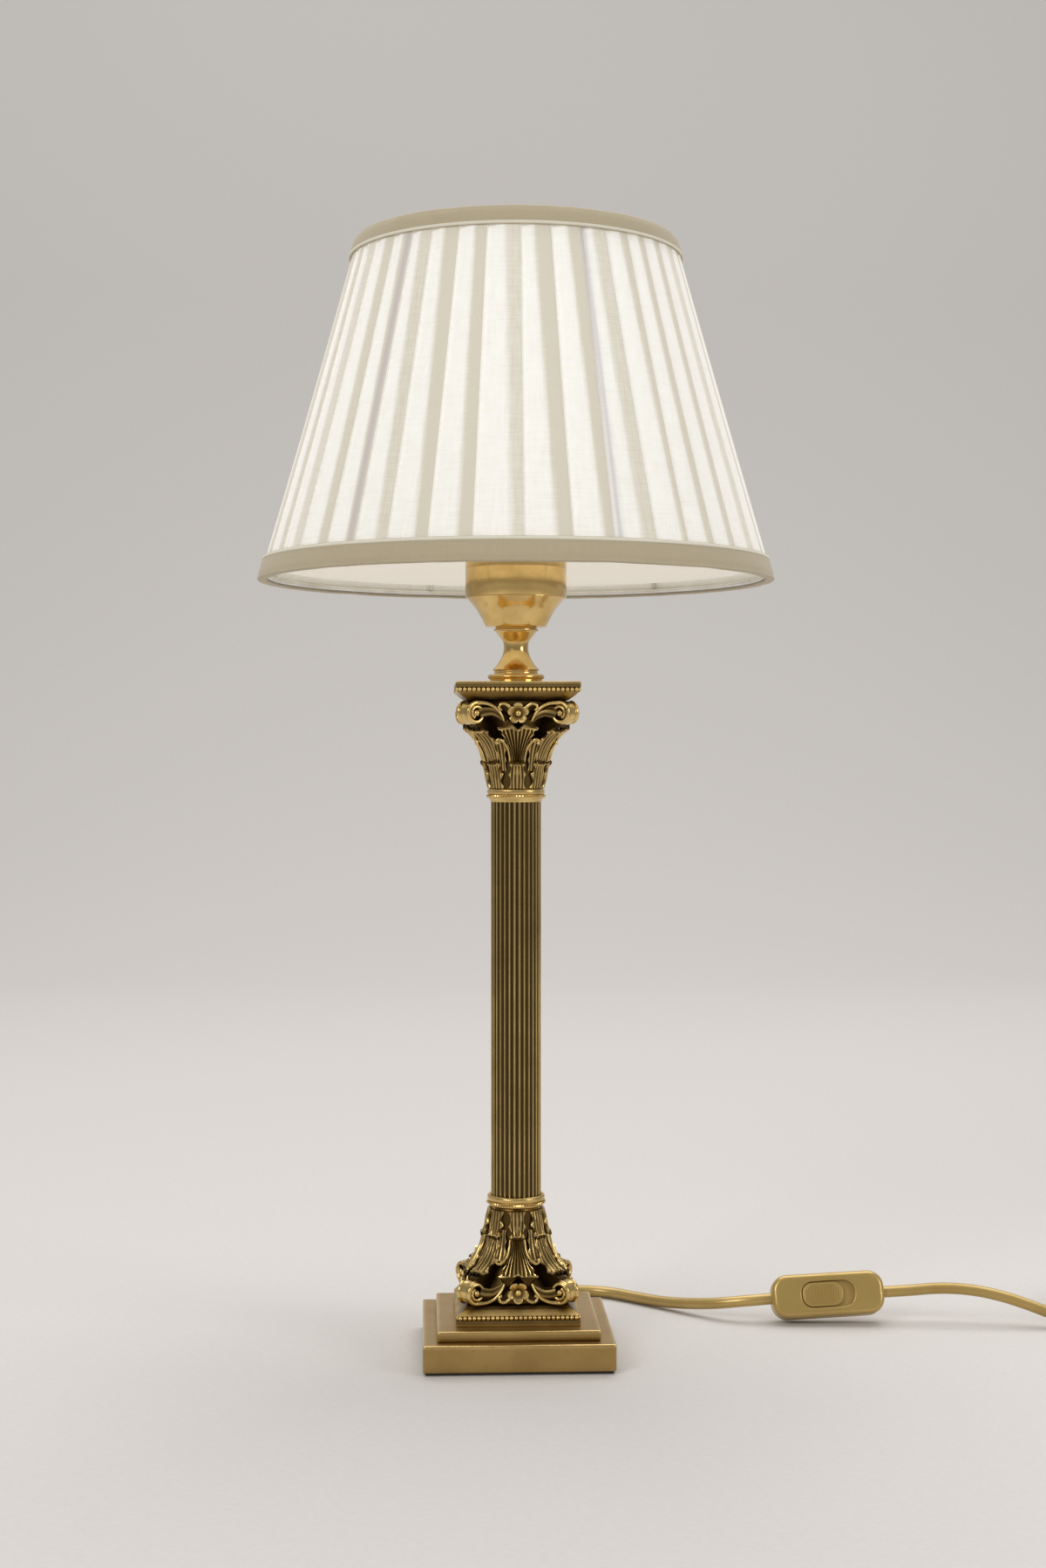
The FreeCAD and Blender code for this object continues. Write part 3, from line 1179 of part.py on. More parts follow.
build_base()
build_clamp()
build_capitals()
build_column()
build_neck()
build_lampholder()
build_bulb()
build_shade()
build_lead()
write_parts()
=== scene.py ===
"""Looks of a brass column table lamp: castings, fluted column, pleated shade, lead and switch.

The frame is that of the solids: the origin is the middle of the base's underside, +Z is up and -Y
is the front. Each sub-assembly is a class that works its surfaces out with numpy. Sizes are in mm,
and Sheet turns them into metres.
"""

import logging
import math
from collections.abc import Mapping, Sequence
from dataclasses import dataclass, field
from enum import Enum
from typing import Any

import bmesh
import bpy
import numpy as np
from mathutils import Euler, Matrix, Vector


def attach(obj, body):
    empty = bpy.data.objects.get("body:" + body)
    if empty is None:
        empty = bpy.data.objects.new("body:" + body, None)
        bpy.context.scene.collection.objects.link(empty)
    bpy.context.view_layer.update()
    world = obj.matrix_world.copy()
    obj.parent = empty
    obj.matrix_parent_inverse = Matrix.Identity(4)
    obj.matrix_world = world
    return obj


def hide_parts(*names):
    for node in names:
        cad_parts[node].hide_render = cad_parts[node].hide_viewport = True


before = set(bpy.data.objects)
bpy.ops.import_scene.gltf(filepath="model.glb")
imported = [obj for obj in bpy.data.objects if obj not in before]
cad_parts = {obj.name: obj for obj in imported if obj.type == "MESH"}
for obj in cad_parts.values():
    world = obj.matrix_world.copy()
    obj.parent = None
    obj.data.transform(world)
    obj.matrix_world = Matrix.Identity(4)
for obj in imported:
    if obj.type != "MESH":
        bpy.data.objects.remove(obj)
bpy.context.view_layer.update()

log = logging.getLogger("lamp")
MM = 0.001
TURN = 2 * math.pi
QUARTERS = (0.0, 90.0, 180.0, 270.0)
CORNERS = (45.0, 135.0, 225.0, 315.0)
SLOTS = {"Gold_sheath": "gold_lead", "Gold_moulding": "gold_switch", "Trim_edge": "trim_cloth",
         "Frosted_glass": "bulb_glass", "White_wire": "frame_wire"}

Triple = tuple[float, float, float]
Profile = Sequence[tuple[float, float]]


class Body(str, Enum):
    """The rigid bodies that pieces ride on."""

    STAND = "stand"
    SLIDER = "slider"
    SHADE = "shade"
    RING = "ring"
    BULB = "bulb"


# ---------------------------------------------------------------- meshes from grids
def grid_corners(rows: int, cols: int, wrap_rows: bool, wrap_cols: bool = True
                 ) -> tuple[np.ndarray, np.ndarray]:
    """Quads of a grid of points, row by row.

    Args:
        rows: Number of rows of points.
        cols: Number of points in a row.
        wrap_rows: True if the last row joins the first.
        wrap_cols: True if the last point of a row joins its first.

    Returns:
        The point numbers of each quad, and the grid place (column, row) of each of its corners.
    """
    i, j = np.meshgrid(np.arange(rows - (not wrap_rows)), np.arange(cols - (not wrap_cols)),
                       indexing="ij")
    corners = ((i, j), (i, j + 1), (i + 1, j + 1), (i + 1, j))
    index = np.stack([(a % rows) * cols + (b % cols) for a, b in corners], axis=-1)
    place = np.stack([np.stack([b, a], axis=-1) for a, b in corners], axis=-2)
    return index.reshape(-1, 4), place.reshape(-1, 4, 2).astype(float)


def dress(name: str, data: Any, material: str, body: Body, nodes: Sequence[str]
          ) -> bpy.types.Object:
    """Makes an object, puts it on its body and hides the nodes that it stands for.

    Args:
        name: Name of the piece.
        data: Its mesh or curve.
        material: Name of its finish.
        body: Body that it rides on.
        nodes: Nodes of the solid model that it stands for.

    Returns:
        The new object.
    """
    data.materials.append(bpy.data.materials[material])
    piece = bpy.data.objects.new(name, data)
    bpy.context.scene.collection.objects.link(piece)
    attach(piece, body.value)
    SLOTS.get(material, material.lower())
    if nodes:
        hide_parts(*nodes)
    log.info("%s on %s, for %s", name, body.value, ", ".join(nodes) or "nothing")
    return piece


@dataclass
class Sheet:
    """Collects grids of points, whose rows close on themselves, into one mesh."""

    name: str
    points: list[np.ndarray] = field(default_factory=list)
    quads: list[np.ndarray] = field(default_factory=list)
    places: list[np.ndarray] = field(default_factory=list)
    values: dict[str, list[np.ndarray]] = field(default_factory=dict)
    total: int = 0

    def grid(self, points: np.ndarray, wrap: bool = False, scale: tuple[float, float] = (1.0, 1.0),
             **values: np.ndarray | float) -> None:
        """Adds a grid.

        Args:
            points: Array of (rows, columns, 3) in mm.
            wrap: True if the last row joins the first.
            scale: UV units per column and per row.
            values: Numbers of the points, by names that each grid of the sheet has.
        """
        shape = points.shape[:2]
        quads, places = grid_corners(*shape, wrap)
        for name, value in values.items():
            self.values.setdefault(name, []).append(np.broadcast_to(value, shape).reshape(-1))
        self.points.append(points.reshape(-1, 3) * MM)
        self.quads.append(quads + self.total)
        self.places.append(places * scale)
        self.total += shape[0] * shape[1]

    def build(self, material: str, *nodes: str, body: Body = Body.STAND, sharp: float = 40.0,
              merge: float = 1e-7) -> bpy.types.Object:
        """Makes the object, closes its poles and points its faces outwards.

        Args:
            material: Name of its finish.
            nodes: Nodes of the solid model that it stands for.
            body: Body that it rides on.
            sharp: Edges that turn more than this many degrees stay sharp.
            merge: Points closer than this, in metres, are made one.

        Returns:
            The new object.
        """
        mesh = bpy.data.meshes.new(self.name)
        points, quads = np.concatenate(self.points), np.concatenate(self.quads)
        mesh.from_pydata(points.tolist(), [], quads.tolist())
        places = np.concatenate(self.places).reshape(-1).astype(np.float32)
        mesh.uv_layers.new(name="UVMap").data.foreach_set("uv", places)
        for name, parts in self.values.items():
            attribute = mesh.attributes.new(name, "FLOAT", "POINT")
            attribute.data.foreach_set("value", np.concatenate(parts).astype(np.float32))
        shape = bmesh.new()
        shape.from_mesh(mesh)
        bmesh.ops.remove_doubles(shape, verts=shape.verts, dist=merge)
        bmesh.ops.dissolve_degenerate(shape, edges=shape.edges, dist=1e-8)
        bmesh.ops.recalc_face_normals(shape, faces=shape.faces)
        shape.to_mesh(mesh)
        shape.free()
        mesh.polygons.foreach_set("use_smooth", np.ones(len(mesh.polygons), dtype=bool))
        mesh.set_sharp_from_angle(angle=math.radians(sharp))
        return dress(self.name, mesh, material, body, nodes)


def skin(name: str, points: np.ndarray, material: str, node: str, wrap: bool = True,
         body: Body = Body.STAND, sharp: float = 40.0, merge: float = 1e-7,
         **grid: Any) -> bpy.types.Object:
    """A piece of one grid that stands for one node. The other arguments are those of Sheet."""
    sheet = Sheet(name)
    sheet.grid(points, wrap, **grid)
    return sheet.build(material, node, body=body, sharp=sharp, merge=merge)


def carry_over(finishes: Mapping[str, str]) -> None:
    """Gives each node that keeps its solid the finish named for it."""
    for node, name in finishes.items():
        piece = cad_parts[node]
        piece.data.materials.clear()
        piece.data.materials.append(bpy.data.materials[name])
        log.info("%s keeps its solid, in %s", node, name)


# ---------------------------------------------------------------- shapes
def circle(count: int) -> np.ndarray:
    """Angles that share out a full turn."""
    return np.linspace(0.0, TURN, count, endpoint=False)


def lathe(profile: Profile | np.ndarray, segments: int) -> np.ndarray:
    """A profile of (radius, height) turned about Z: x = r cos a, y = r sin a, z = h."""
    rows = np.asarray(profile, dtype=float)
    angle = circle(segments)
    height = np.broadcast_to(rows[:, 1:], (len(rows), segments))
    return np.stack([rows[:, :1] * np.cos(angle), rows[:, :1] * np.sin(angle), height], axis=-1)


def soften(corners: Profile, radius: float, steps: int = 3, closed: bool = False) -> np.ndarray:
    """A profile with each corner rounded by a quadratic curve through its two cuts.

    Args:
        corners: Corners of (radius, height).
        radius: Length cut from each side of a corner, at most 0.4 of a side.
        steps: Points of each rounded corner.
        closed: True if the last corner joins the first.

    Returns:
        Array of (n, 2).
    """
    points = np.asarray(corners, dtype=float)
    ways = [np.roll(points, shift, axis=0) - points for shift in (1, -1)]
    lengths = [np.linalg.norm(way, axis=1, keepdims=True) + 1e-12 for way in ways]
    cut = np.minimum(radius, 0.4 * np.minimum(*lengths))
    start, end = (points + way / length * cut for way, length in zip(ways, lengths))
    t = np.linspace(0.0, 1.0, steps)[None, :, None]
    curve = (1 - t) ** 2 * start[:, None] + 2 * t * (1 - t) * points[:, None] + t**2 * end[:, None]
    if not closed:
        curve[0], curve[-1] = points[0], points[-1]
    return curve.reshape(-1, 2)


def smooth_through(stations: Sequence[Sequence[float]] | np.ndarray, count: int) -> np.ndarray:
    """Points on a curve through stations.

    Each span is a cubic whose ends take the direction of the chord between the neighbours.

    Args:
        stations: Places, or rows of numbers, that the curve passes through.
        count: Number of points wanted.

    Returns:
        Array of (count, numbers).
    """
    knots = np.asarray(stations, dtype=float)
    slope = np.gradient(knots, axis=0)
    at = np.linspace(0, len(knots) - 1, count)
    low = np.clip(at.astype(int), 0, len(knots) - 2)
    t = (at - low)[:, None]
    return ((2 * t**3 - 3 * t**2 + 1) * knots[low] + (t**3 - 2 * t**2 + t) * slope[low]
            + (3 * t**2 - 2 * t**3) * knots[low + 1] + (t**3 - t**2) * slope[low + 1])


def tube(path: np.ndarray, radius: np.ndarray | float, sides: int, closed: bool = False,
         squash: float = 1.0) -> np.ndarray:
    """Circles carried along a path, square to it: p + r (cos a u + sin a v).

    Args:
        path: Array of (n, 3).
        radius: One radius, or one for each point.
        sides: Points round the tube.
        closed: True if the path closes on itself.
        squash: Share that the tube keeps along its second direction.

    Returns:
        Array of (n, sides, 3).
    """
    way = np.roll(path, -1, axis=0) - np.roll(path, 1, axis=0)
    if not closed:
        way[0], way[-1] = path[1] - path[0], path[-1] - path[-2]
    way /= np.linalg.norm(way, axis=1, keepdims=True)
    up = np.tile([0.0, 0.0, 1.0], (len(path), 1))
    up[np.abs(way[:, 2]) > 0.93] = (0.0, 1.0, 0.0)
    first = np.cross(way, up)
    first /= np.linalg.norm(first, axis=1, keepdims=True)
    second = np.cross(way, first)
    angle = circle(sides)[None, :, None]
    reach = np.broadcast_to(radius, (len(path),))[:, None, None]
    return path[:, None] + reach * (np.cos(angle) * first[:, None]
                                    + squash * np.sin(angle) * second[:, None])


def capped(points: np.ndarray) -> np.ndarray:
    """The grid with a row at each end drawn together into one point, which closes a tube."""
    ends = [np.repeat(row.mean(axis=0)[None], len(row), axis=0)[None] for row in points[[0, -1]]]
    return np.concatenate([ends[0], points, ends[1]])


def turned(points: np.ndarray, degrees: float) -> np.ndarray:
    """Points turned about the upright axis."""
    c, s = math.cos(math.radians(degrees)), math.sin(math.radians(degrees))
    return points @ np.array([[c, s, 0.0], [-s, c, 0.0], [0.0, 0.0, 1.0]])


def square_ring(profile: np.ndarray, corner: float, side: int, arc: int = 6) -> np.ndarray:
    """Square outlines with round corners: a smaller square, pushed out along each corner's arc.

    Args:
        profile: Half width and height of each row.
        corner: Radius of the corners.
        side: Points along each side.
        arc: Points round each corner.

    Returns:
        Array of (rows, points, 3).
    """
    quarter = np.linspace(-math.pi / 2, 0.0, arc)
    along = np.linspace(-1.0, 1.0, side + 2)[1:-1]
    base = np.vstack([np.stack([along, -np.ones(side)], -1), np.tile([[1.0, -1.0]], (arc, 1))])
    push = np.vstack([np.tile([[0.0, -1.0]], (side, 1)),
                      np.stack([np.cos(quarter), np.sin(quarter)], -1)])
    turns = [np.linalg.matrix_power(np.array([[0.0, 1.0], [-1.0, 0.0]]), k) for k in range(4)]
    base, push = (np.vstack([outline @ turn for turn in turns]) for outline in (base, push))
    half, height = profile[:, :1, None], profile[:, 1:, None]
    flat = base * (half - np.minimum(corner, half)) + push * np.minimum(corner, half)
    return np.concatenate([flat, np.broadcast_to(height, (*flat.shape[:2], 1))], axis=-1)


def slab_ring(*rows: np.ndarray | float, arc: int = 8) -> np.ndarray:
    """Rounded oblong outlines in X and Z at a depth in Y, one for each row.

    Args:
        rows: Full lengths, full widths, corner radii and Y of the rows.
        arc: Points round each corner.

    Returns:
        Array of (rows, points, 3).
    """
    angle = np.concatenate([np.linspace(q, q + math.pi / 2, arc) for q in np.arange(4) * TURN / 4])
    sign_x = np.repeat([1.0, -1.0, -1.0, 1.0], arc)
    sign_z = np.repeat([1.0, 1.0, -1.0, -1.0], arc)
    length, width, corner, depth = (np.asarray(row, dtype=float)[:, None] for row in rows)
    corner = np.minimum(corner, np.minimum(length, width) / 2)
    x = sign_x * (length / 2 - corner) + corner * np.cos(angle)
    z = sign_z * (width / 2 - corner) + corner * np.sin(angle)
    return np.stack([x, np.broadcast_to(depth, x.shape), z], axis=-1)


def ball(centre: Triple, radius: float, rows: int, cols: int) -> np.ndarray:
    """A small ball as a grid from pole to pole."""
    up = np.linspace(-math.pi / 2, math.pi / 2, rows)
    return np.asarray(centre) + radius * lathe(np.stack([np.cos(up), np.sin(up)], -1), cols)


# ---------------------------------------------------------------- materials
def rgba(colour: Any) -> Any:
    """A colour with its alpha; a socket stays as it is."""
    return (*colour, 1.0) if isinstance(colour, tuple) else colour


class Graph:
    """Adds nodes to a node tree and links them."""

    def __init__(self, tree: bpy.types.NodeTree) -> None:
        """Keeps the tree."""
        self.tree = tree

    def feed(self, node: bpy.types.Node, inputs: Mapping[str | int, Any]) -> None:
        """Gives sockets of a node, by name or number, a value or another node's output."""
        for socket, value in inputs.items():
            if isinstance(value, bpy.types.NodeSocket):
                self.tree.links.new(value, node.inputs[socket])
            else:
                node.inputs[socket].default_value = value

    def add(self, kind: str, inputs: Mapping[str | int, Any] | None = None, **settings: Any
            ) -> bpy.types.Node:
        """Adds a node.

        Args:
            kind: Type name of the node.
            inputs: Sockets by name or number, each with a value or another node's output.
            settings: Properties of the node.

        Returns:
            The node.
        """
        node = self.tree.nodes.new(kind)
        for name, value in settings.items():
            setattr(node, name, value)
        self.feed(node, inputs or {})
        return node

    def noise(self, vector: Any, scale: float, detail: float = 3.0, rough: float = 0.5
              ) -> bpy.types.NodeSocket:
        """A noise value from 0 to 1."""
        return self.add("ShaderNodeTexNoise", {"Vector": vector, "Scale": scale, "Detail": detail,
                                               "Roughness": rough}).outputs[0]

    def math(self, operation: str, first: Any, second: Any = 0.5) -> bpy.types.NodeSocket:
        """One step of arithmetic."""
        return self.add("ShaderNodeMath", {0: first, 1: second}, operation=operation).outputs[0]

    def spread(self, value: Any, *spans: float) -> bpy.types.NodeSocket:
        """A value carried from one span to another, else to 0..1, and held inside it."""
        spans = spans if len(spans) == 4 else (*spans, 0.0, 1.0)
        return self.add("ShaderNodeMapRange", dict(enumerate((value, *spans)))).outputs[0]

    def mix(self, share: Any, first: Any, second: Any) -> bpy.types.NodeSocket:
        """A colour between two."""
        return self.add("ShaderNodeMix", {0: share, 6: rgba(first), 7: rgba(second)},
                        data_type="RGBA").outputs[2]

    def stretched(self, vector: Any, scale: Triple) -> bpy.types.NodeSocket:
        """A vector with its three sides scaled apart."""
        return self.add("ShaderNodeMapping", {"Vector": vector, "Scale": scale}).outputs[0]

    def attribute(self, name: str) -> bpy.types.NodeSocket:
        """A named number of the surface."""
        return self.add("ShaderNodeAttribute", attribute_name=name).outputs["Fac"]

    def surface(self, shader: bpy.types.Node, colour: Any, rough: Any, height: Any, bump: float,
                deep: float = 0.0003) -> None:
        """Wires a shader's colour, its roughness and the grain that a height gives it."""
        grain = self.add("ShaderNodeBump", {"Strength": bump, "Distance": deep, "Height": height})
        self.feed(shader, {"Base Color": colour, "Roughness": rough, "Normal": grain.outputs[0]})


def new_group(name: str, inputs: Mapping[str, float], outputs: Sequence[str]
              ) -> tuple[Graph, bpy.types.Node, bpy.types.Node, bpy.types.NodeSocket]:
    """Makes a node group that takes a vector and numbers.

    Args:
        name: Name of the group.
        inputs: Numbers by name with their first values; the first one scales the vector.
        outputs: Names of the numbers that it gives.

    Returns:
        Its graph, its input node, its output node and the scaled vector.
    """
    tree = bpy.data.node_groups.new(name, "ShaderNodeTree")
    tree.interface.new_socket("Vector", in_out="INPUT", socket_type="NodeSocketVector")
    for label, value in inputs.items():
        socket = tree.interface.new_socket(label, in_out="INPUT", socket_type="NodeSocketFloat")
        socket.default_value = value
    for label in outputs:
        tree.interface.new_socket(label, in_out="OUTPUT", socket_type="NodeSocketFloat")
    graph = Graph(tree)
    start, end = graph.add("NodeGroupInput"), graph.add("NodeGroupOutput")
    scaled = graph.add("ShaderNodeVectorMath", {0: start.outputs[0], "Scale": start.outputs[1]},
                       operation="SCALE")
    return graph, start, end, scaled.outputs[0]


def tarnish_group() -> None:
    """Clouds of tarnish, small spots and fine dirt, as a mask and a height."""
    graph, start, end, place = new_group("Tarnish", {"Scale": 1.0, "Spots": 0.5},
                                         ("Mask", "Height"))
    clouds = graph.spread(graph.noise(place, 45.0, 4.0, 0.6), 0.38, 0.72)
    spots = graph.spread(graph.noise(place, 420.0, 2.0, 0.5), 0.60, 0.74)
    spots = graph.math("MULTIPLY", spots, start.outputs[2])
    dirt = graph.math("MULTIPLY", graph.noise(place, 1600.0, 3.0, 0.6), 0.6)
    height = graph.math("ADD", dirt, graph.math("MULTIPLY", spots, -0.5))
    graph.feed(end, {0: graph.math("MAXIMUM", clouds, spots), 1: height})


def weave_group() -> None:
    """Plain weave: two sine ridges at right angles, with slubs of noise along the threads."""
    graph, _, end, place = new_group("Weave", {"Threads": 900.0}, ("Height", "Slub"))
    parts = graph.add("ShaderNodeSeparateXYZ", {0: place})
    ridges = [graph.math("SINE", graph.math("MULTIPLY", parts.outputs[axis], TURN))
              for axis in (0, 1)]
    slubs = [graph.noise(graph.stretched(place, scale), 1.0, 3.0)
             for scale in ((0.06, 0.6, 1.0), (0.6, 0.05, 1.0))]
    for number, pair in enumerate((ridges, slubs)):
        graph.feed(end, {number: graph.math("MULTIPLY", graph.math("ADD", *pair), 0.5)})


def new_material(name: str) -> tuple[bpy.types.Material, Graph, bpy.types.Node, Any]:
    """An empty material with its shader and its coordinates.

    Args:
        name: Name of the material.

    Returns:
        The material, its graph, its shader and its texture coordinates by name.
    """
    material = bpy.data.materials.new(name)
    material.use_nodes = True
    material.node_tree.nodes.clear()
    graph = Graph(material.node_tree)
    shader = graph.add("ShaderNodeBsdfPrincipled")
    graph.add("ShaderNodeOutputMaterial", {0: shader.outputs[0]})
    return material, graph, shader, graph.add("ShaderNodeTexCoord").outputs


@dataclass(frozen=True)
class Metal:
    """A metal finish: bright and tarnished colours, gloss, and whether recesses get painted shade.
    """

    name: str
    bright: Triple
    tarnish_and_shade: Triple
    gloss: tuple[float, float] = (0.16, 0.34)
    scale: float = 1.0
    spots: float = 0.4
    # relief: paints shade into hollows and highlights onto crests, from the relief attribute
    relief: bool = False
    brushed: Triple | None = None
    bump: float = 0.08

    def build(self) -> None:
        """Tarnish mixes the colours, roughens and pits the surface; relief adds painted shade and
        highlights.
        """
        _, graph, shader, coords = new_material(self.name)
        tarnish = graph.add("ShaderNodeGroup", {"Vector": coords["Object"], "Scale": self.scale,
                                                "Spots": self.spots},
                            node_tree=bpy.data.node_groups["Tarnish"]).outputs
        mask, height = tarnish["Mask"], tarnish["Height"]
        if self.relief:
            # Painted shade where the relief is low, painted highlights where it is high.
            deep = graph.spread(graph.attribute("relief"), 0.08, 0.72, 1.0, 0.0)
            untarnished_and_lit = graph.math("MULTIPLY", graph.math("SUBTRACT", 1.0, deep),
                               graph.spread(mask, 0.0, 1.0, 1.0, 0.55))
            mask = graph.math("SUBTRACT", 1.0, untarnished_and_lit)
        if self.brushed:
            lines = graph.noise(graph.stretched(coords["Object"], self.brushed), 1.0, 4.0, 0.7)
            height = graph.math("ADD", graph.math("MULTIPLY", lines, 1.2), height)
        graph.surface(shader, graph.mix(mask, self.bright, self.tarnish_and_shade),
                      graph.spread(mask, 0.0, 1.0, *self.gloss), height, self.bump)
        graph.feed(shader, {"Metallic": 1.0})


@dataclass(frozen=True)
class Moulding:
    """A plastic, rubber or felt finish with a little uneven colour and a fine surface."""

    name: str
    colour: Triple
    shade: Triple
    gloss: tuple[float, float] = (0.32, 0.48)
    metallic: float = 0.0
    grain: float = 900.0
    bump: float = 0.08
    coat: float = 0.0

    def build(self) -> None:
        """Slow noise mixes the two colours and fine noise pits the surface."""
        _, graph, shader, coords = new_material(self.name)
        slow = graph.spread(graph.noise(coords["Object"], 38.0, 3.0), 0.35, 0.7)
        graph.surface(shader, graph.mix(slow, self.colour, self.shade),
                      graph.spread(slow, 0.0, 1.0, *self.gloss),
                      graph.noise(coords["Object"], self.grain, 3.0, 0.6), self.bump)
        graph.feed(shader, {"Metallic": self.metallic, "Coat Weight": self.coat})


@dataclass(frozen=True)
class Cloth:
    """A woven finish whose painted glow stands for lamplight through it, brightest in one layer."""

    name: str
    thin: Triple
    # thick: colour of the slubs and, on the pleated cloth, painted shade where it lies in three
    # layers
    thick: Triple
    # glow: strength of the painted glow, emission that stands for lamplight through the cloth
    glow: float
    threads: float = 1500.0
    folds: bool = False
    # strut: colour of the painted shadows of the struts; unlit: colour that the painted glow dims
    # to
    strut: Triple = (0.42, 0.38, 0.42)
    unlit: Triple = (0.30, 0.26, 0.19)

    def build(self) -> None:
        """The fold and strut masks paint shade into both its colour and its glow; the dim mask dims
        the glow.
        """
        _, graph, shader, coords = new_material(self.name)
        weave = graph.add("ShaderNodeGroup", {"Vector": coords["UV"], "Threads": self.threads},
                          node_tree=bpy.data.node_groups["Weave"]).outputs
        share = graph.spread(weave["Slub"], 0.3, 0.7, 0.0, 0.35)
        if self.folds:
            # Painted shade where the cloth lies in three layers.
            folded = graph.math("ADD", share, graph.attribute("fold"))
            share = graph.math("MINIMUM", folded, 1.0)
        light = colour = graph.mix(share, self.thin, self.thick)
        if self.folds:
            # Painted shadows of the struts, then the painted glow dimmed by the dim mask.
            behind = graph.math("MULTIPLY", graph.attribute("strut"), 0.6)
            colour = graph.mix(behind, colour, self.strut)
            light = graph.mix(graph.attribute("dim"), colour, self.unlit)
        graph.surface(shader, colour, 0.85, weave["Height"], 0.25, 0.0002)
        graph.feed(shader, {"Emission Color": light, "Emission Strength": self.glow,
                            "Sheen Weight": 0.25})


FINISHES: tuple[Metal | Moulding | Cloth, ...] = (
    Metal("Polished_brass", (0.78, 0.55, 0.22), (0.42, 0.27, 0.08), (0.10, 0.26), 0.6, 0.5,
          brushed=(30.0, 30.0, 900.0), bump=0.05),
    # Satin_brass, Cast_brass and Aged_column use relief: their dark colour is also painted shade.
    Metal("Satin_brass", (0.76, 0.54, 0.22), (0.27, 0.165, 0.05), (0.20, 0.40), 0.8, 0.6, True,
          (60.0, 2200.0, 2200.0), 0.10),
    Metal("Cast_brass", (0.78, 0.56, 0.22), (0.075, 0.043, 0.011), (0.16, 0.46), 1.6, 0.3, True,
          bump=0.14),
    Metal("Aged_column", (0.82, 0.60, 0.26), (0.065, 0.042, 0.012), (0.14, 0.34), 0.9, 0.4, True,
          (1500.0, 1500.0, 20.0), 0.06),
    Metal("Zinc_plate", (0.60, 0.58, 0.50), (0.40, 0.37, 0.30), (0.25, 0.42)),
    Metal("Bright_contact", (0.80, 0.62, 0.32), (0.50, 0.36, 0.15), (0.14, 0.30)),
    Metal("Cap_metal", (0.80, 0.78, 0.74), (0.50, 0.49, 0.46), (0.20, 0.36)),
    Metal("White_wire", (0.80, 0.79, 0.75), (0.66, 0.63, 0.56), (0.35, 0.50)),
    Metal("Raw_iron", (0.16, 0.16, 0.16), (0.09, 0.06, 0.05), (0.5, 0.7)),
    Moulding("Gold_sheath", (0.52, 0.36, 0.12), (0.40, 0.27, 0.08), (0.30, 0.42), 0.45, 1300.0,
             0.10, 0.15),
    Moulding("Gold_moulding", (0.50, 0.345, 0.11), (0.42, 0.285, 0.085), (0.30, 0.40), 0.5, 1100.0,
             0.10, 0.2),
    Moulding("Holder_plastic", (0.86, 0.84, 0.77), (0.78, 0.75, 0.66)),
    Moulding("Ring_plastic", (0.76, 0.60, 0.28), (0.66, 0.50, 0.20), metallic=0.4),
    Moulding("Felt", (0.05, 0.04, 0.035), (0.03, 0.026, 0.022), (0.9, 1.0), 0.0, 2400.0, 0.6),
    Moulding("Dark_glass", (0.03, 0.03, 0.04), (0.02, 0.02, 0.02), (0.1, 0.15)),
    # Each cloth glows with painted light, emission that stands for the bulb's light through it.
    Cloth("Pleated_cloth", (0.93, 0.915, 0.87), (0.62, 0.58, 0.48), 0.20, folds=True),
    Cloth("Lining_cloth", (0.93, 0.91, 0.86), (0.88, 0.85, 0.79), 0.16),
    Cloth("Trim_cloth", (0.46, 0.39, 0.26), (0.39, 0.325, 0.21), 0.02),
    Cloth("Trim_edge", (0.70, 0.66, 0.55), (0.60, 0.56, 0.45), 0.05),
)


def frosted_glass() -> None:
    """Frosted, lit bulb glass with faint uneven frosting."""
    _, graph, shader, coords = new_material("Frosted_glass")
    frost = graph.noise(coords["Object"], 220.0, 3.0)
    graph.feed(shader, {"Base Color": graph.mix(frost, (1.0, 0.97, 0.90), (0.95, 0.92, 0.84)),
                        "Roughness": graph.spread(frost, 0.3, 0.7, 0.35, 0.55),
                        "Emission Color": (1.0, 0.93, 0.80, 1.0), "Emission Strength": 0.5})


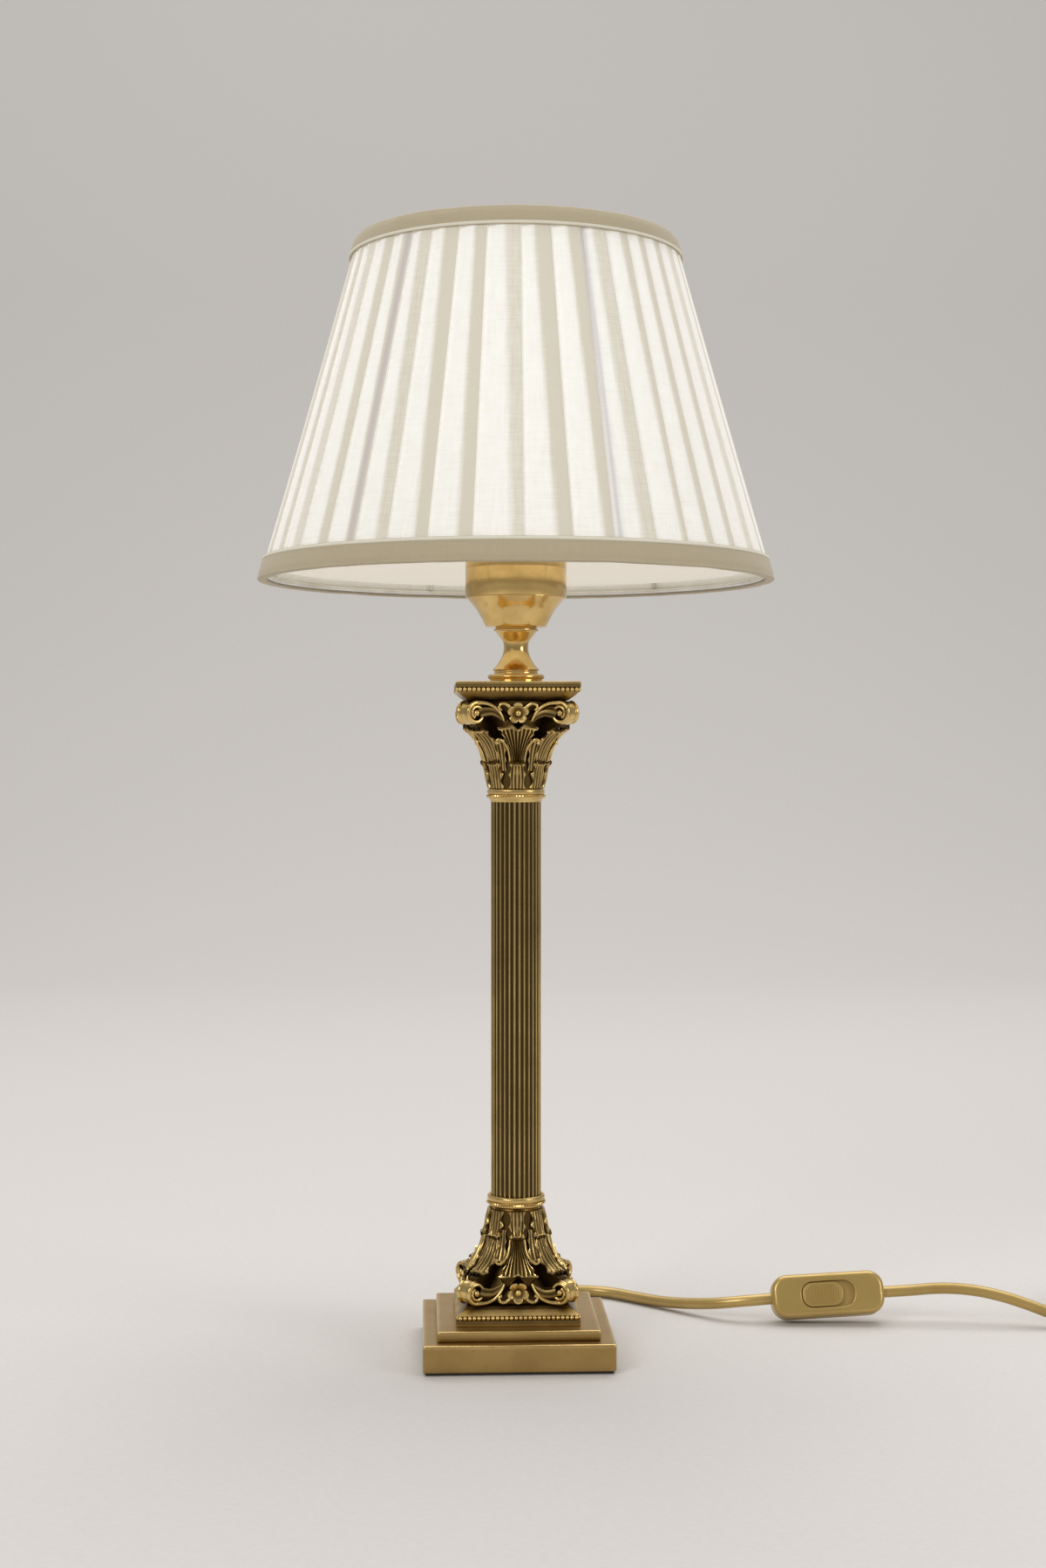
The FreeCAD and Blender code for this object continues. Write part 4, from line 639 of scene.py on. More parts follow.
# ---------------------------------------------------------------- camera, floor and lights
@dataclass(frozen=True)
class Studio:
    """The view of the photograph, a plain pale floor and soft lights. Lengths in metres.

    The focal length is in pixels of a frame 1200 wide and 1799 high. The floor is level as far as
    `level`, bends up with the radius `bend` and has faded into the backdrop's colour at `faded`.
    """

    place: Triple = (-0.0468, -1.126, 0.304)
    turn: float = 2.56
    tilt: float = -0.93
    focal: float = 2570.0
    frame_height: float = 1799.0
    sensor: float = 36.0
    backdrop: tuple[float, float, float, float] = (0.50, 0.48, 0.46, 1.0)
    soft: tuple[float, float, float, float] = (0.60, 0.59, 0.58, 1.0)
    edge: float = 8.0
    level: float = 1.7
    bend: float = 1.1
    faded: float = 4.6
    below: float = 0.0002
    aim: Triple = (0.0, 0.0, 0.28)
    lamps: tuple[tuple[str, Triple, float, float], ...] = (
        ("Key", (-1.2, -1.4, 1.3), 0.9, 15.0), ("Fill", (1.5, -1.0, 0.8), 0.7, 8.0),
        ("Top", (0.2, 0.9, 2.9), 3.0, 75.0))

    def camera(self) -> None:
        """Sets the camera: the lens is the focal length as a share of the frame's height."""
        lens = bpy.data.cameras.new("View")
        lens.sensor_fit = "VERTICAL"
        lens.sensor_height = self.sensor
        lens.lens = self.focal / self.frame_height * lens.sensor_height
        lens.clip_start = 0.01
        camera = bpy.data.objects.new("View", lens)
        camera.location = self.place
        camera.rotation_euler = (math.radians(90 + self.tilt), 0.0, math.radians(-self.turn))
        bpy.context.scene.collection.objects.link(camera)
        bpy.context.scene.camera = camera

    def floor(self) -> None:
        """A pale sheet just under the base that sweeps up: a flat, a quarter circle, a wall.

        It fades into the backdrop's colour, so no edge of it shows from any side.
        """
        bend = np.linspace(0.0, math.pi / 2, 24)
        sweep = np.vstack([(-self.edge, 0.0),
                           np.stack([self.level + self.bend * np.sin(bend),
                                     self.bend - self.bend * np.cos(bend)], -1),
                           (self.level + self.bend, self.edge)])
        points = np.stack([np.insert(sweep - (0.0, self.below), 0, side, axis=1)
                           for side in (-self.edge, self.edge)], axis=1)
        quads, _ = grid_corners(len(sweep), 2, False, False)
        mesh = bpy.data.meshes.new("Floor")
        mesh.from_pydata(points.reshape(-1, 3).tolist(), [], quads[:, ::-1].tolist())
        mesh.polygons.foreach_set("use_smooth", np.ones(len(quads), dtype=bool))
        floor = bpy.data.objects.new("Floor", mesh)
        bpy.context.scene.collection.objects.link(floor)
        material, graph, shader, coords = new_material("Pale_floor")
        tone = graph.spread(graph.noise(coords["Object"], 300.0, 2.0), 0.3, 0.7)
        graph.feed(shader, {"Base Color": graph.mix(tone, (0.63, 0.605, 0.58), (0.61, 0.585, 0.56)),
                            "Roughness": 0.9, "Specular IOR Level": 0.1})
        distance = graph.add("ShaderNodeVectorMath", {0: coords["Object"]}, operation="LENGTH")
        paper = graph.add("ShaderNodeEmission", {"Color": self.backdrop, "Strength": 1.0})
        far = graph.spread(distance.outputs["Value"], self.level, self.faded)
        fade = graph.add("ShaderNodeMixShader", {0: far, 1: shader.outputs[0], 2: paper.outputs[0]})
        graph.feed(graph.tree.nodes["Material Output"], {0: fade.outputs[0]})
        mesh.materials.append(material)

    def lights(self) -> None:
        """An even world and three large soft lamps."""
        world = bpy.data.worlds.new("Studio")
        world.use_nodes = True
        world.node_tree.nodes.clear()
        graph = Graph(world.node_tree)
        soft = graph.add("ShaderNodeBackground", {"Color": self.soft, "Strength": 0.55})
        seen = graph.add("ShaderNodeBackground", {"Color": self.backdrop, "Strength": 1.0})
        path = graph.add("ShaderNodeLightPath")
        mix = graph.add("ShaderNodeMixShader", {0: path.outputs["Is Camera Ray"],
                                                1: soft.outputs[0], 2: seen.outputs[0]})
        graph.add("ShaderNodeOutputWorld", {0: mix.outputs[0]})
        bpy.context.scene.world = world
        for name, place, reach, power in self.lamps:
            data = bpy.data.lights.new(name, "AREA")
            data.size, data.energy = reach, power
            lamp = bpy.data.objects.new(name, data)
            lamp.location = place
            way = Vector(self.aim) - Vector(place)
            lamp.rotation_euler = way.to_track_quat("-Z", "Y").to_euler()
            bpy.context.scene.collection.objects.link(lamp)

    def build(self) -> None:
        """Sets the camera, the floor, the lights and the view transform."""
        self.camera()
        self.floor()
        self.lights()
        bpy.context.scene.view_settings.view_transform = "Standard"


# ---------------------------------------------------------------- the lead
@dataclass(frozen=True)
class Lead:
    """The lead from the strain relief through the switch to its coil and plug.

    The coil winds in, takes `climb` of a turn to climb to its second layer, and winds out.
    """

    radius: float = 3.0
    exit: Triple = (3.0, 65.0, 6.35)
    to_switch: tuple[Triple, ...] = (
        (3.0, 81.2, 6.2), (10.4, 96.0, 5.17), (23.7, 106.0, 3.79), (40.0, 109.0, 3.1),
        (56.0, 104.3, 3.1), (69.1, 92.2, 3.1), (82.2, 80.0, 3.35), (95.3, 67.9, 5.26),
        (108.4, 55.8, 8.14), (123.2, 49.6, 10.9))
    switch_ends: tuple[Triple, Triple] = ((137.19, 48.94, 12.14), (196.41, 46.26, 15.76))
    to_coil: tuple[Triple, ...] = (
        (210.9, 45.7, 16.6), (225.6, 44.4, 18.1), (240.6, 41.9, 17.9), (255.4, 38.2, 15.7),
        (269.6, 33.9, 11.8), (282.4, 29.9, 7.3), (294.6, 25.9, 4.0), (307.6, 21.1, 3.1))
    coil_middle: tuple[float, float] = (341.0, 56.0)
    coil_inner: float = 24.4
    coil_pitch: float = 6.75
    coil_rise: float = 6.6
    turns_in: float = 2.75
    climb: float = 0.5
    turns_out: float = 3.0
    per_turn: int = 16
    start_angle: float = 252.0
    floor_gap: float = 0.1
    plug_drop: tuple[Triple, ...] = (
        (388.78, 57.29, 9.7), (392.05, 67.80, 8.3), (394.95, 78.44, 6.9), (397.14, 88.28, 6.9))

    def coil(self) -> np.ndarray:
        """The coil's control points, set out so far that the curve inside them has its radius."""
        turns = self.turns_in + self.climb + self.turns_out
        turn = np.linspace(0.0, turns, int(turns * self.per_turn) + 1)
        share = np.clip((turn - self.turns_in) / self.climb, 0.0, 1.0)
        rounds = (np.maximum(self.turns_in - turn, 0.0) - share * (1 - share) / 2
                  + np.maximum(turn - self.turns_in - self.climb, 0.0))
        radius = (self.coil_inner + self.coil_pitch * rounds) / math.cos(math.pi / self.per_turn)
        rise = self.coil_rise * (share - np.sin(TURN * share) / TURN)
        angle = math.radians(self.start_angle) + TURN * turn
        return np.stack([self.coil_middle[0] + radius * np.cos(angle),
                         self.coil_middle[1] + radius * np.sin(angle),
                         self.radius + self.floor_gap + rise], axis=-1)

    def build(self) -> bpy.types.Object:
        """The lead as one smooth curve of order three through its control points."""
        left, right = (np.array(end) for end in self.switch_ends)
        inside = [left + (right - left) * share for share in (0.0, 0.2, 0.8, 1.0)]
        points = np.vstack([self.exit, *self.to_switch, *inside, *self.to_coil, *self.coil(),
                            *self.plug_drop]) * MM
        curve = bpy.data.curves.new("Lead", "CURVE")
        curve.dimensions = "3D"
        curve.bevel_depth = self.radius * MM
        curve.bevel_resolution = curve.resolution_u = 5
        curve.use_fill_caps = True
        spline = curve.splines.new("NURBS")
        spline.points.add(len(points) - 1)
        spline.points.foreach_set("co", np.insert(points, 3, 1.0, axis=1).reshape(-1))
        spline.order_u = 3
        spline.use_endpoint_u = True
        return dress("Lead", curve, "Gold_sheath", Body.STAND,
                     ("cord_to_switch", "cord_to_coil", "cord_coil", "cord_tail"))

    def declare(self, lead: bpy.types.Object, pieces: Sequence[bpy.types.Object]) -> None:
        """Works the exit out in metres and keeps nothing."""
        tuple(value * MM for value in self.exit)


@dataclass(frozen=True)
class StrainRelief:
    """The tapered sleeve where the lead leaves the base, with flexing ribs."""

    place: Triple = (3.0, 42.4, 6.35)
    flange: float = 4.8
    foot: float = 4.2
    ribs: int = 7
    rib_pitch: float = 2.1

    def build(self) -> bpy.types.Object:
        """A profile turned about the lead: flange, groove for the wall, then ribs on a taper."""
        foot = self.foot
        corners = [(0.01, 0.0), (self.flange, 0.0), (self.flange, 1.6), (foot, 1.6), (foot, 4.6),
                   (foot + 0.8, 4.65), (foot + 0.7, 6.0)]
        for rib in range(self.ribs):
            start = 6.6 + self.rib_pitch * rib
            reach = foot + 0.45 - 0.17 * (rib + 1)
            corners += [(reach - 0.55, start), (reach, start + 0.35), (reach - 0.08, start + 1.35)]
        corners += [(3.5, 21.4), (3.4, 22.4), (3.05, 22.6), (0.01, 22.6)]
        points = lathe(soften(corners, 0.25), 40)[..., [0, 2, 1]] + self.place
        return skin("Strain_relief", capped(points), "Gold_sheath", "strain_relief", wrap=False,
                    merge=1e-5)


# ---------------------------------------------------------------- switch and plug
@dataclass(frozen=True)
class Switch:
    """The in-line switch: two shells with soft edges, a recess with its slider, and screws.

    The lean, lift and turn are its angles about X, Y and Z in degrees. The recess has a length, a
    width and a depth, and its outline is the shell's row with an inset of `recess_inset`.
    """

    middle: Triple = (166.8, 47.6, 13.95)
    angles: Triple = (-20.0, -3.5, -2.6)
    length: float = 59.4
    width: float = 22.6
    thickness: float = 15.0
    corner: float = 8.5
    round_depth: float = 3.4
    round_inset: float = 2.6
    recess: Triple = (28.0, 13.6, 2.4)
    recess_corner: float = 6.0
    recess_inset: float = 4.5
    slider: tuple[float, float] = (21.5, 12.6)
    slider_corner: float = 5.2
    ribs: int = 15
    rib_margin: float = 1.8
    rib_radius: float = 0.4

    def placed(self, points: np.ndarray) -> np.ndarray:
        """Points of the switch's own frame carried to where it lies."""
        turn = Euler([math.radians(angle) for angle in self.angles]).to_matrix()
        return points @ np.array(turn).T + self.middle

    def shell(self, name: str, rows: Profile, node: str) -> bpy.types.Object:
        """A shell as rounded outlines from one face to the other.

        Args:
            name: Name of the piece.
            rows: Depth, and inset from the full outline, of each row.
            node: Node that the shell stands for.

        Returns:
            The new object.
        """
        depth, inset = np.array(rows).T
        inner = inset > 3.0
        past = self.recess_inset - inset
        length = np.where(inner, self.recess[0] + 2 * past, self.length - 2 * inset)
        width = np.where(inner, self.recess[1] + 2 * past, self.width - 2 * inset)
        corner = np.where(inner, self.recess_corner + past, np.maximum(self.corner - inset, 0.8))
        points = self.placed(slab_ring(length, width, corner, depth))
        return skin(name, capped(points), "Gold_moulding", node, wrap=False, sharp=50.0, merge=1e-6)

    def thumb(self) -> bpy.types.Object:
        """The slider at the left end of its recess: a rounded block with ribs across its face."""
        length, width = self.slider
        floor = -self.thickness / 2 + self.recess[2] - 0.3
        middle = np.array([-self.recess[0] / 2 + 0.45 + length / 2, 0.0, 0.0])
        depth = floor - np.array([0.0, 1.6, 2.0, 2.15])
        inset = np.array([0.0, 0.0, 0.25, 0.8])
        outline = slab_ring(length - 2 * inset, width - 2 * inset, self.slider_corner - inset,
                            depth)
        sheet = Sheet("Switch_slider")
        sheet.grid(capped(self.placed(outline + middle)))
        ribbed = length - 2 * self.rib_margin
        for x in (np.arange(self.ribs) + 0.5) / self.ribs * ribbed - ribbed / 2:
            short = max(0.0, abs(x) - length / 2 + self.slider_corner) * 0.8
            across = np.array([-1.0, -0.5, 0.5, 1.0]) * (width / 2 - 1.3 - short)
            path = np.array([(x, depth[-1] + 0.05, z) for z in across]) + middle
            sheet.grid(capped(tube(self.placed(path), self.rib_radius, 6)))
        return sheet.build("Gold_moulding", "switch_slider", body=Body.SLIDER, merge=1e-6)

    def build(self) -> list[bpy.types.Object]:
        """Both shells and the slider. The screws keep their solids and take a finish."""
        half = self.thickness / 2
        edge = [(self.round_depth * (1 - math.sin(turn)), self.round_inset * (1 - math.cos(turn)))
                for turn in np.linspace(0, math.pi / 2, 6)]
        recess = [(0.0, 3.0), (0.0, 3.75), (0.0, 3.95), (0.12, 4.25), (0.4, 4.45), (0.6, 4.5),
                  (self.recess[2], 4.55)]
        front = [(0.95, 0.25), (0.55, 0.0),
                 *((deep - half, inset) for deep, inset in edge + recess)]
        back = [(1.0, 0.25), (1.4, 0.0), *((half - deep, inset) for deep, inset in edge),
                (half, 3.0)]
        shells = [self.shell("Switch_front", front, "switch_front_shell"),
                  self.shell("Switch_back", back, "switch_back_shell")]
        carry_over({"switch_screws": "Zinc_plate"})
        return [*shells, self.thumb(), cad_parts["switch_screws"]]


@dataclass(frozen=True)
class Plug:
    """The flat two-pin plug at the end of the lead."""

    start: Triple = (397.14, 88.28, 6.9)
    way: Triple = (0.21735, 0.97609, 0.0)
    length: float = 35.0
    stations: Profile = ((8.4, 8.4), (9.0, 8.8), (10.4, 9.8), (16.5, 11.6), (23.4, 13.4),
                         (25.8, 13.6), (26.0, 13.6))
    rib_depth: float = 0.45
    rib_pitch: float = 2.3
    ribbed: float = 0.34

    def build(self) -> list[bpy.types.Object]:
        """Rounded outlines from the lead's collar to the pins' face, with grip ribs."""
        along = np.linspace(0.0, 1.0, 60)
        ribs = np.clip(np.sin(along * self.length * TURN / self.rib_pitch), 0, 1)
        ribs = self.rib_depth * ribs * (along < self.ribbed)
        length, width = smooth_through(self.stations, 60).T - ribs
        corner = np.minimum(length, width) * 0.36
        ease = np.array([0.2, 0.7, 1.6])
        end = slab_ring(length[-1] - ease, width[-1] - ease, np.full(3, corner[-1]),
                        self.length - np.array([0.25, 0.08, 0.0]))
        points = np.vstack([slab_ring(length, width, corner, along * self.length)[:-2], end])
        way = np.array(self.way) / np.linalg.norm(self.way)
        side = np.cross(way, (0.0, 0.0, 1.0))
        axes = np.array([side / np.linalg.norm(side), way, (0.0, 0.0, 1.0)])
        plug = skin("Plug", capped(points @ axes + self.start), "Gold_sheath", "plug_body",
                    wrap=False, merge=1e-6)
        carry_over({"plug_pins": "Bright_contact"})
        return [plug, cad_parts["plug_pins"]]


# ---------------------------------------------------------------- stand
@dataclass(frozen=True)
class Base:
    """Felt, hollow lower plate and smaller upper plate, by half widths and heights."""

    lower: float = 47.0
    upper: float = 40.0
    bore: float = 5.1
    wall: float = 3.0
    slope: float = 2.2
    felt_top: float = 1.2
    felt_inset: float = 1.0
    felt_inner: float = 15.0
    step: float = 14.5
    top: float = 19.5

    def plate(self, name: str, corners: Profile, node: str) -> None:
        """A square plate from a closed profile, with a painted highlight along its upper edge."""
        profile = soften(corners, 0.9, 4, closed=True)
        points = square_ring(profile, 0.9, 24)
        # Painted highlight: relief 1 at the upper edge, lower on the faces, which the finish
        # darkens.
        edge_highlight = 0.32 + 0.68 * np.exp(-np.hypot(*(profile - profile.max(axis=0)).T) ** 2)
        wave = 0.1 * np.sin(points[..., 0] * 0.095 + 1.0) * np.sin(points[..., 1] * 0.08)
        points[..., 2] += wave * (points[..., 2] > self.felt_top + 1.0)
        skin(name, points, "Satin_brass", node, merge=1e-6, relief=edge_highlight[:, None])

    def felt(self) -> None:
        """The felt pad, with a softly rounded and slightly uneven cut edge."""
        half = self.lower - self.felt_inset
        profile = soften([(self.felt_inner, 0.0), (half, 0.0), (half, self.felt_top),
                          (self.felt_inner, self.felt_top)], 0.4, 4)
        points = square_ring(profile, 1.2, 40)
        uneven = 1 + np.sin(61 * np.arctan2(points[..., 1], points[..., 0]))
        edge = np.abs(points[..., :2]).max(axis=-1) > half - 1.0
        points[..., :2] *= 1 - (0.0016 * uneven * edge)[..., None]
        pad = skin("Felt_pad", capped(points), "Felt", "base_felt", wrap=False, merge=1e-6)

    def build(self) -> None:
        """Both plates and the felt; the weight and the nuts keep their solids."""
        self.felt()

        def outside(half: float, bottom: float, top: float) -> Profile:
            """Side, sloped edge and upper face of a plate."""
            return [(half, bottom), (half, top - self.slope), (half, top),
                    (half - self.slope, top), (self.bore, top)]

        roof, inner = self.step - self.wall, self.lower - self.wall
        self.plate("Lower_plate", [*outside(self.lower, self.felt_top, self.step),
                                   (self.bore, roof), (inner, roof), (inner, self.felt_top)],
                   "lower_plinth")
        self.plate("Upper_plate", [*outside(self.upper, self.step, self.top),
                                   (self.bore, self.step)], "upper_plinth")
        carry_over({"base_weight": "Raw_iron", "base_nut": "Zinc_plate",
                    "base_washer": "Zinc_plate", "threaded_tube": "Zinc_plate",
                    "holder_nut": "Zinc_plate"})


@dataclass(frozen=True)
class Leaf:
    """A leaf of the casting with ribs that fan from its foot, lobed edges and a rolled tip.

    Its face is spine + across * half width, raised by the ribs' cosine, by a rim along its edges
    and by a bow that drops towards them; its back is the same surface pushed in. Near the tip the
    leaf ends sooner between its lobes.

    Attributes:
        angles: Where it stands round the casting, in degrees.
        stations: Radius, height, lean of the face in degrees and half width, from foot to tip.
        ribs: Number of ribs across.
        lobes: Number of lobes along each edge.
        notch: Depth of the notches as a share of the half width.
        relief: Height of the ribs.
        bow: How far the middle stands out of the edges.
        tips: Number of lobes at the tip.
        tip: How much sooner the leaf ends between them, as a share of its length.
        hump: How much higher the lobes at the tip stand than the hollows between them.
        rows: Points along.
        cols: Points across.
    """

    angles: tuple[float, ...]
    stations: tuple[tuple[float, float, float, float], ...]
    ribs: int
    lobes: int
    notch: float
    relief: float
    bow: float
    tips: int = 1
    tip: float = 0.14
    hump: float = 0.6
    rows: int = 30
    cols: int = 25

    def shape(self) -> tuple[np.ndarray, np.ndarray]:
        """The closed grid and the relief of each point from 0 to 1, its painted highlights and
        shade.
        """
        u = np.linspace(-1.0, 1.0, self.cols)[None, :]
        v = np.linspace(0.0, 1.0, self.rows)[:, None]
        turn = np.pi * self.tips * u / 2
        lobe = (np.cos(turn) if self.tips % 2 else np.sin(turn)) ** 2
        at = v * (1.0 - self.tip * (1 - lobe))
        table = smooth_through(self.stations, 240)
        radius, height, lean, half = (np.interp(at, np.linspace(0, 1, 240), column)
                                      for column in table.T)
        cut = np.abs(np.sin(np.pi * self.lobes * v)) * (v < 0.95)
        half = half * (1 - self.notch * np.abs(u) ** 3 * cut)
        height = height + self.hump * lobe * np.clip((at - 0.45) / 0.3, 0, 1) ** 1.5
        wave = (0.5 + 0.5 * np.cos(np.pi * self.ribs * u)) * np.ones_like(v)
        rim = np.abs(u) ** 8 * np.ones_like(v)
        roll = np.clip((v - 0.80) / 0.12, 0, 1)
        fade = np.minimum(1.0, v * 5.0) * (1 - 0.6 * roll)
        lift = self.relief * (wave + 0.5 * rim) * fade + self.bow * (1 - u**2) + 0.75 * roll
        lean = np.radians(lean)
        out = np.stack([np.cos(lean), np.zeros_like(lean), -np.sin(lean)], axis=-1)
        spine = np.stack([radius, u * half, height], axis=-1)
        deep = lift * 0.5 - (0.6 + 0.9 * (1 - v))
        grid = np.concatenate([spine + out * lift[..., None],
                               (spine + out * deep[..., None])[:, ::-1]], axis=1)
        # Painted highlights on rib crests, lobed rims and rolled tip; painted shade between ribs
        # and behind.
        highlight_and_shade = np.clip(0.08 + 0.62 * wave**2 + 0.6 * rim * (1 - 0.5 * cut) + 0.75 * roll, 0, 1)
        shade = np.concatenate([highlight_and_shade, np.zeros_like(lift)], axis=1)
        ends = [np.broadcast_to(row[:self.cols].mean(axis=0), (1, 2 * self.cols, 3))
                for row in grid[[0, -1]]]
        return (np.concatenate([ends[0], grid, ends[1]]),
                np.concatenate([shade[:1], shade, shade[-1:]]))


LEAVES = (
    Leaf((*QUARTERS, *CORNERS),
         ((13.6, 0.2, 0, 4.2), (14.1, 4.5, 2, 4.9), (14.6, 8.2, 6, 4.5), (15.3, 11.0, 22, 4.2),
          (16.6, 12.9, 62, 3.9), (17.8, 12.7, 118, 3.4), (17.6, 11.5, 165, 2.6)),
         5, 3, 0.34, 0.7, 0.7, 3),
    Leaf(QUARTERS,
         ((14.5, 7.0, 0, 2.4), (15.4, 13.0, 2, 2.9), (16.8, 19.0, 10, 4.2), (19.2, 24.4, 22, 6.7),
          (22.2, 28.2, 42, 9.2), (24.9, 30.3, 74, 10.2), (26.5, 29.9, 122, 9.4),
          (26.4, 28.4, 165, 8.2)),
         9, 5, 0.16, 0.95, 0.9, 2, 0.14, 3.8, 42, 63),
    Leaf(CORNERS,
         ((14.6, 10.0, 4, 2.6), (15.8, 15.0, 12, 3.6), (18.4, 20.5, 26, 4.8), (22.2, 25.2, 42, 5.6),
          (26.2, 28.2, 60, 5.4), (28.6, 29.2, 95, 4.6), (29.0, 27.9, 145, 3.6)),
         5, 4, 0.30, 0.7, 0.9, 3, 0.12, 0.8, 36, 37),
    Leaf(tuple(quarter + side for quarter in QUARTERS for side in (-27.5, 27.5)),
         ((14.3, 9.0, 0, 1.8), (15.0, 14.0, 4, 2.4), (16.4, 19.0, 14, 3.2), (18.6, 23.2, 36, 3.8),
          (20.4, 24.8, 80, 3.4), (20.8, 23.6, 140, 2.4)),
         3, 4, 0.42, 0.5, 0.7, rows=26, cols=19),
)
SPRIG = ((4.2, -25.6, 40.6), (6.6, -26.2, 42.2), (8.9, -26.2, 41.6), (9.4, -26.0, 39.8),
         (8.0, -26.0, 39.0))
SHOOT = ((3.6, -15.4, 13.6), (4.2, -16.8, 18.0), (5.8, -18.8, 21.8), (8.6, -20.2, 24.6),
         (10.6, -19.8, 23.8), (10.0, -19.6, 22.2))
BAND = ((6.4, -22.6, 33.4), (9.2, -23.0, 36.4), (12.8, -23.4, 38.2), (16.6, -23.9, 38.2),
        (19.2, -24.3, 37.4))
BAND_REACH = ((1.2,), (2.1,), (2.8,), (3.3,), (3.2,))
CURL_ENTRY = ((6.6, -24.4, 33.4), (8.4, -25.0, 37.0), (11.2, -25.4, 40.2), (15.2, -25.7, 42.2))


@dataclass(frozen=True)
class Capital:
    """The Corinthian casting: bell, ranks of leaves, scrolls, bands, flowers and moulded abacus.

    It is made with its leaves' foot at zero and its abacus on top. Each part below is a grid with
    the relief of its points, from 0 in the hollows to 1 on the crests: painted shade where it is
    low and painted highlights where it is high.
    """

    height: float = 53.0
    abacus: float = 30.7
    cove: float = 25.0
    cove_bottom: float = 43.4
    bore: float = 5.1
    scroll_radius: float = 6.0
    scroll_width: float = 7.6
    scroll_height: float = 37.4
    scroll_centre: float = 32.5
    spiral_centre: Triple = (20.4, -26.4, 37.4)
    spiral_turns: float = 1.42
    eyes: tuple[tuple[Triple, float], ...] = (
        ((-20.4, -27.2, 37.4), 1.6), ((20.4, -27.2, 37.4), 1.6), ((0.0, -27.2, 37.4), 1.7))

    def bell(self) -> np.ndarray:
        """The bell: nearly straight to 15 mm up, then out by the square of the height."""
        height = np.linspace(0.0, self.cove_bottom + 0.5, 26)
        rise = np.clip((height - 15.0) / 24.0, 0.0, 1.0)
        radius = np.where(height < 15.0, 13.3 + 0.7 * height / 15.0, 14.0 + 9.6 * rise**2)
        return lathe([(self.bore, 0.0), *zip(radius, height), (self.bore, height[-1])], 72)

    def plates(self) -> tuple[np.ndarray, np.ndarray]:
        """The moulded cove and the abacus: painted shade in the cove, a painted highlight on its
        upper edge.
        """
        cove, abacus, bottom, top = self.cove, self.abacus, self.cove_bottom, self.height
        profile = soften([(self.bore, bottom), (cove - 2, bottom), (cove, 43.9), (cove + 1.2, 45.0),
                          (cove + 2.0, 45.4), (cove + 4.6, 47.6), (abacus - 0.6, 47.9),
                          (abacus - 0.8, 48.2), (abacus - 0.8, 50.0), (abacus, 50.2),
                          (abacus, 52.0), (abacus, top), (abacus - 1.6, top), (self.bore, top)],
                         0.3, 3, closed=True)
        # Painted shade in the cove and behind the beads; painted highlight along the top edge.
        shade = np.interp(profile[:, 1], [43.4, 45.5, 47.8, 48.4, 49.9, 50.4, 51.7, 52.2, 53.0],
                          [0.0, 0.22, 0.45, 0.05, 0.05, 0.22, 0.25, 1.0, 1.0])
        return square_ring(profile, 0.5, 16), shade[:, None]

    def scroll(self) -> tuple[np.ndarray, np.ndarray]:
        """The rolled band at a corner: one turn about its axle, with three ridges round it."""
        turn = np.linspace(-0.08, 1.0, 56)
        angle = math.pi / 2 - TURN * turn
        cos, sin = np.cos(circle(28)), np.sin(circle(28))
        across = np.sign(cos) * np.abs(cos) ** 0.5 * self.scroll_width / 2
        depth = 0.5 + 0.5 * np.sign(sin) * np.abs(sin) ** 0.7
        ridge = 0.5 + 0.5 * np.cos(3 * TURN * across / self.scroll_width)
        radius = self.scroll_radius - 1.7 + depth * (1.25 + 0.45 * ridge)
        radius = radius[None, :] * (1 - 0.12 * np.clip(turn, 0, 1))[:, None]
        points = np.stack([self.scroll_centre + radius * np.cos(angle)[:, None],
                           np.broadcast_to(across, radius.shape),
                           self.scroll_height + radius * np.sin(angle)[:, None]], axis=-1)
        # Painted highlights on the outer face and ridges, painted shade on the inner face.
        return capped(points), np.clip(0.1 + 0.85 * depth * (0.25 + 0.75 * ridge), 0, 1)[None]

    def drum(self) -> tuple[np.ndarray, float]:
        """The recessed cheeks behind the spirals, painted dark as shade."""
        half = self.scroll_width / 2
        profile = [(0.0, 0.9 - half), (4.6, 0.9 - half), (5.3, 1.5 - half)]
        profile += [(radius, -height) for radius, height in profile[::-1]]
        points = lathe(profile, 28)[..., [0, 2, 1]]
        return points + (self.scroll_centre, 0.0, self.scroll_height), 0.08

    def web(self) -> tuple[np.ndarray, float]:
        """The solid wedge between bell and scroll, painted dark as shade: an outline on each of two
        sides.
        """
        half = self.scroll_width / 2 - 1.2
        outline = np.array([(12.5, 20), (15.6, 21), (18.8, 25), (23.0, 28.4), (27.0, 30.3),
                            (31.2, 30.7), (33.0, 34.0), (32.5, self.cove_bottom),
                            (12.5, self.cove_bottom)], dtype=float)
        sides = [np.insert(outline, 1, side, axis=1) for side in (-half, half)]
        return capped(np.stack(sides)), 0.05

    def curl(self, side: float) -> tuple[np.ndarray, float]:
        """The spiral ridge on a cheek: out from beside the flower, over the top and in to the eye.

        After the top it is centre + r (cos a e + sin a k), where r falls with the turn, e lies
        along the cheek and k points up.

        Args:
            side: -1 for the left spiral of a face, 1 for the right one.

        Returns:
            The tube and its relief.
        """
        cheek = math.radians(32)
        turn = np.linspace(0.0, self.spiral_turns, 62)
        angle = math.pi / 2 - TURN * turn
        reach = 5.3 - 3.0 * turn / self.spiral_turns
        out, up = reach * np.cos(angle), reach * np.sin(angle)
        spiral = np.stack([math.cos(cheek) * out, -math.sin(cheek) * out - 0.5 * turn, up], axis=-1)
        spiral += self.spiral_centre
        entry = smooth_through([*CURL_ENTRY, spiral[0]], 26)[:-1]
        thick = np.concatenate([np.linspace(0.6, 1.15, 25), np.linspace(1.15, 0.75, 62)])
        return capped(tube(np.vstack([entry, spiral]) * (side, 1.0, 1.0), thick, 8)), 0.95

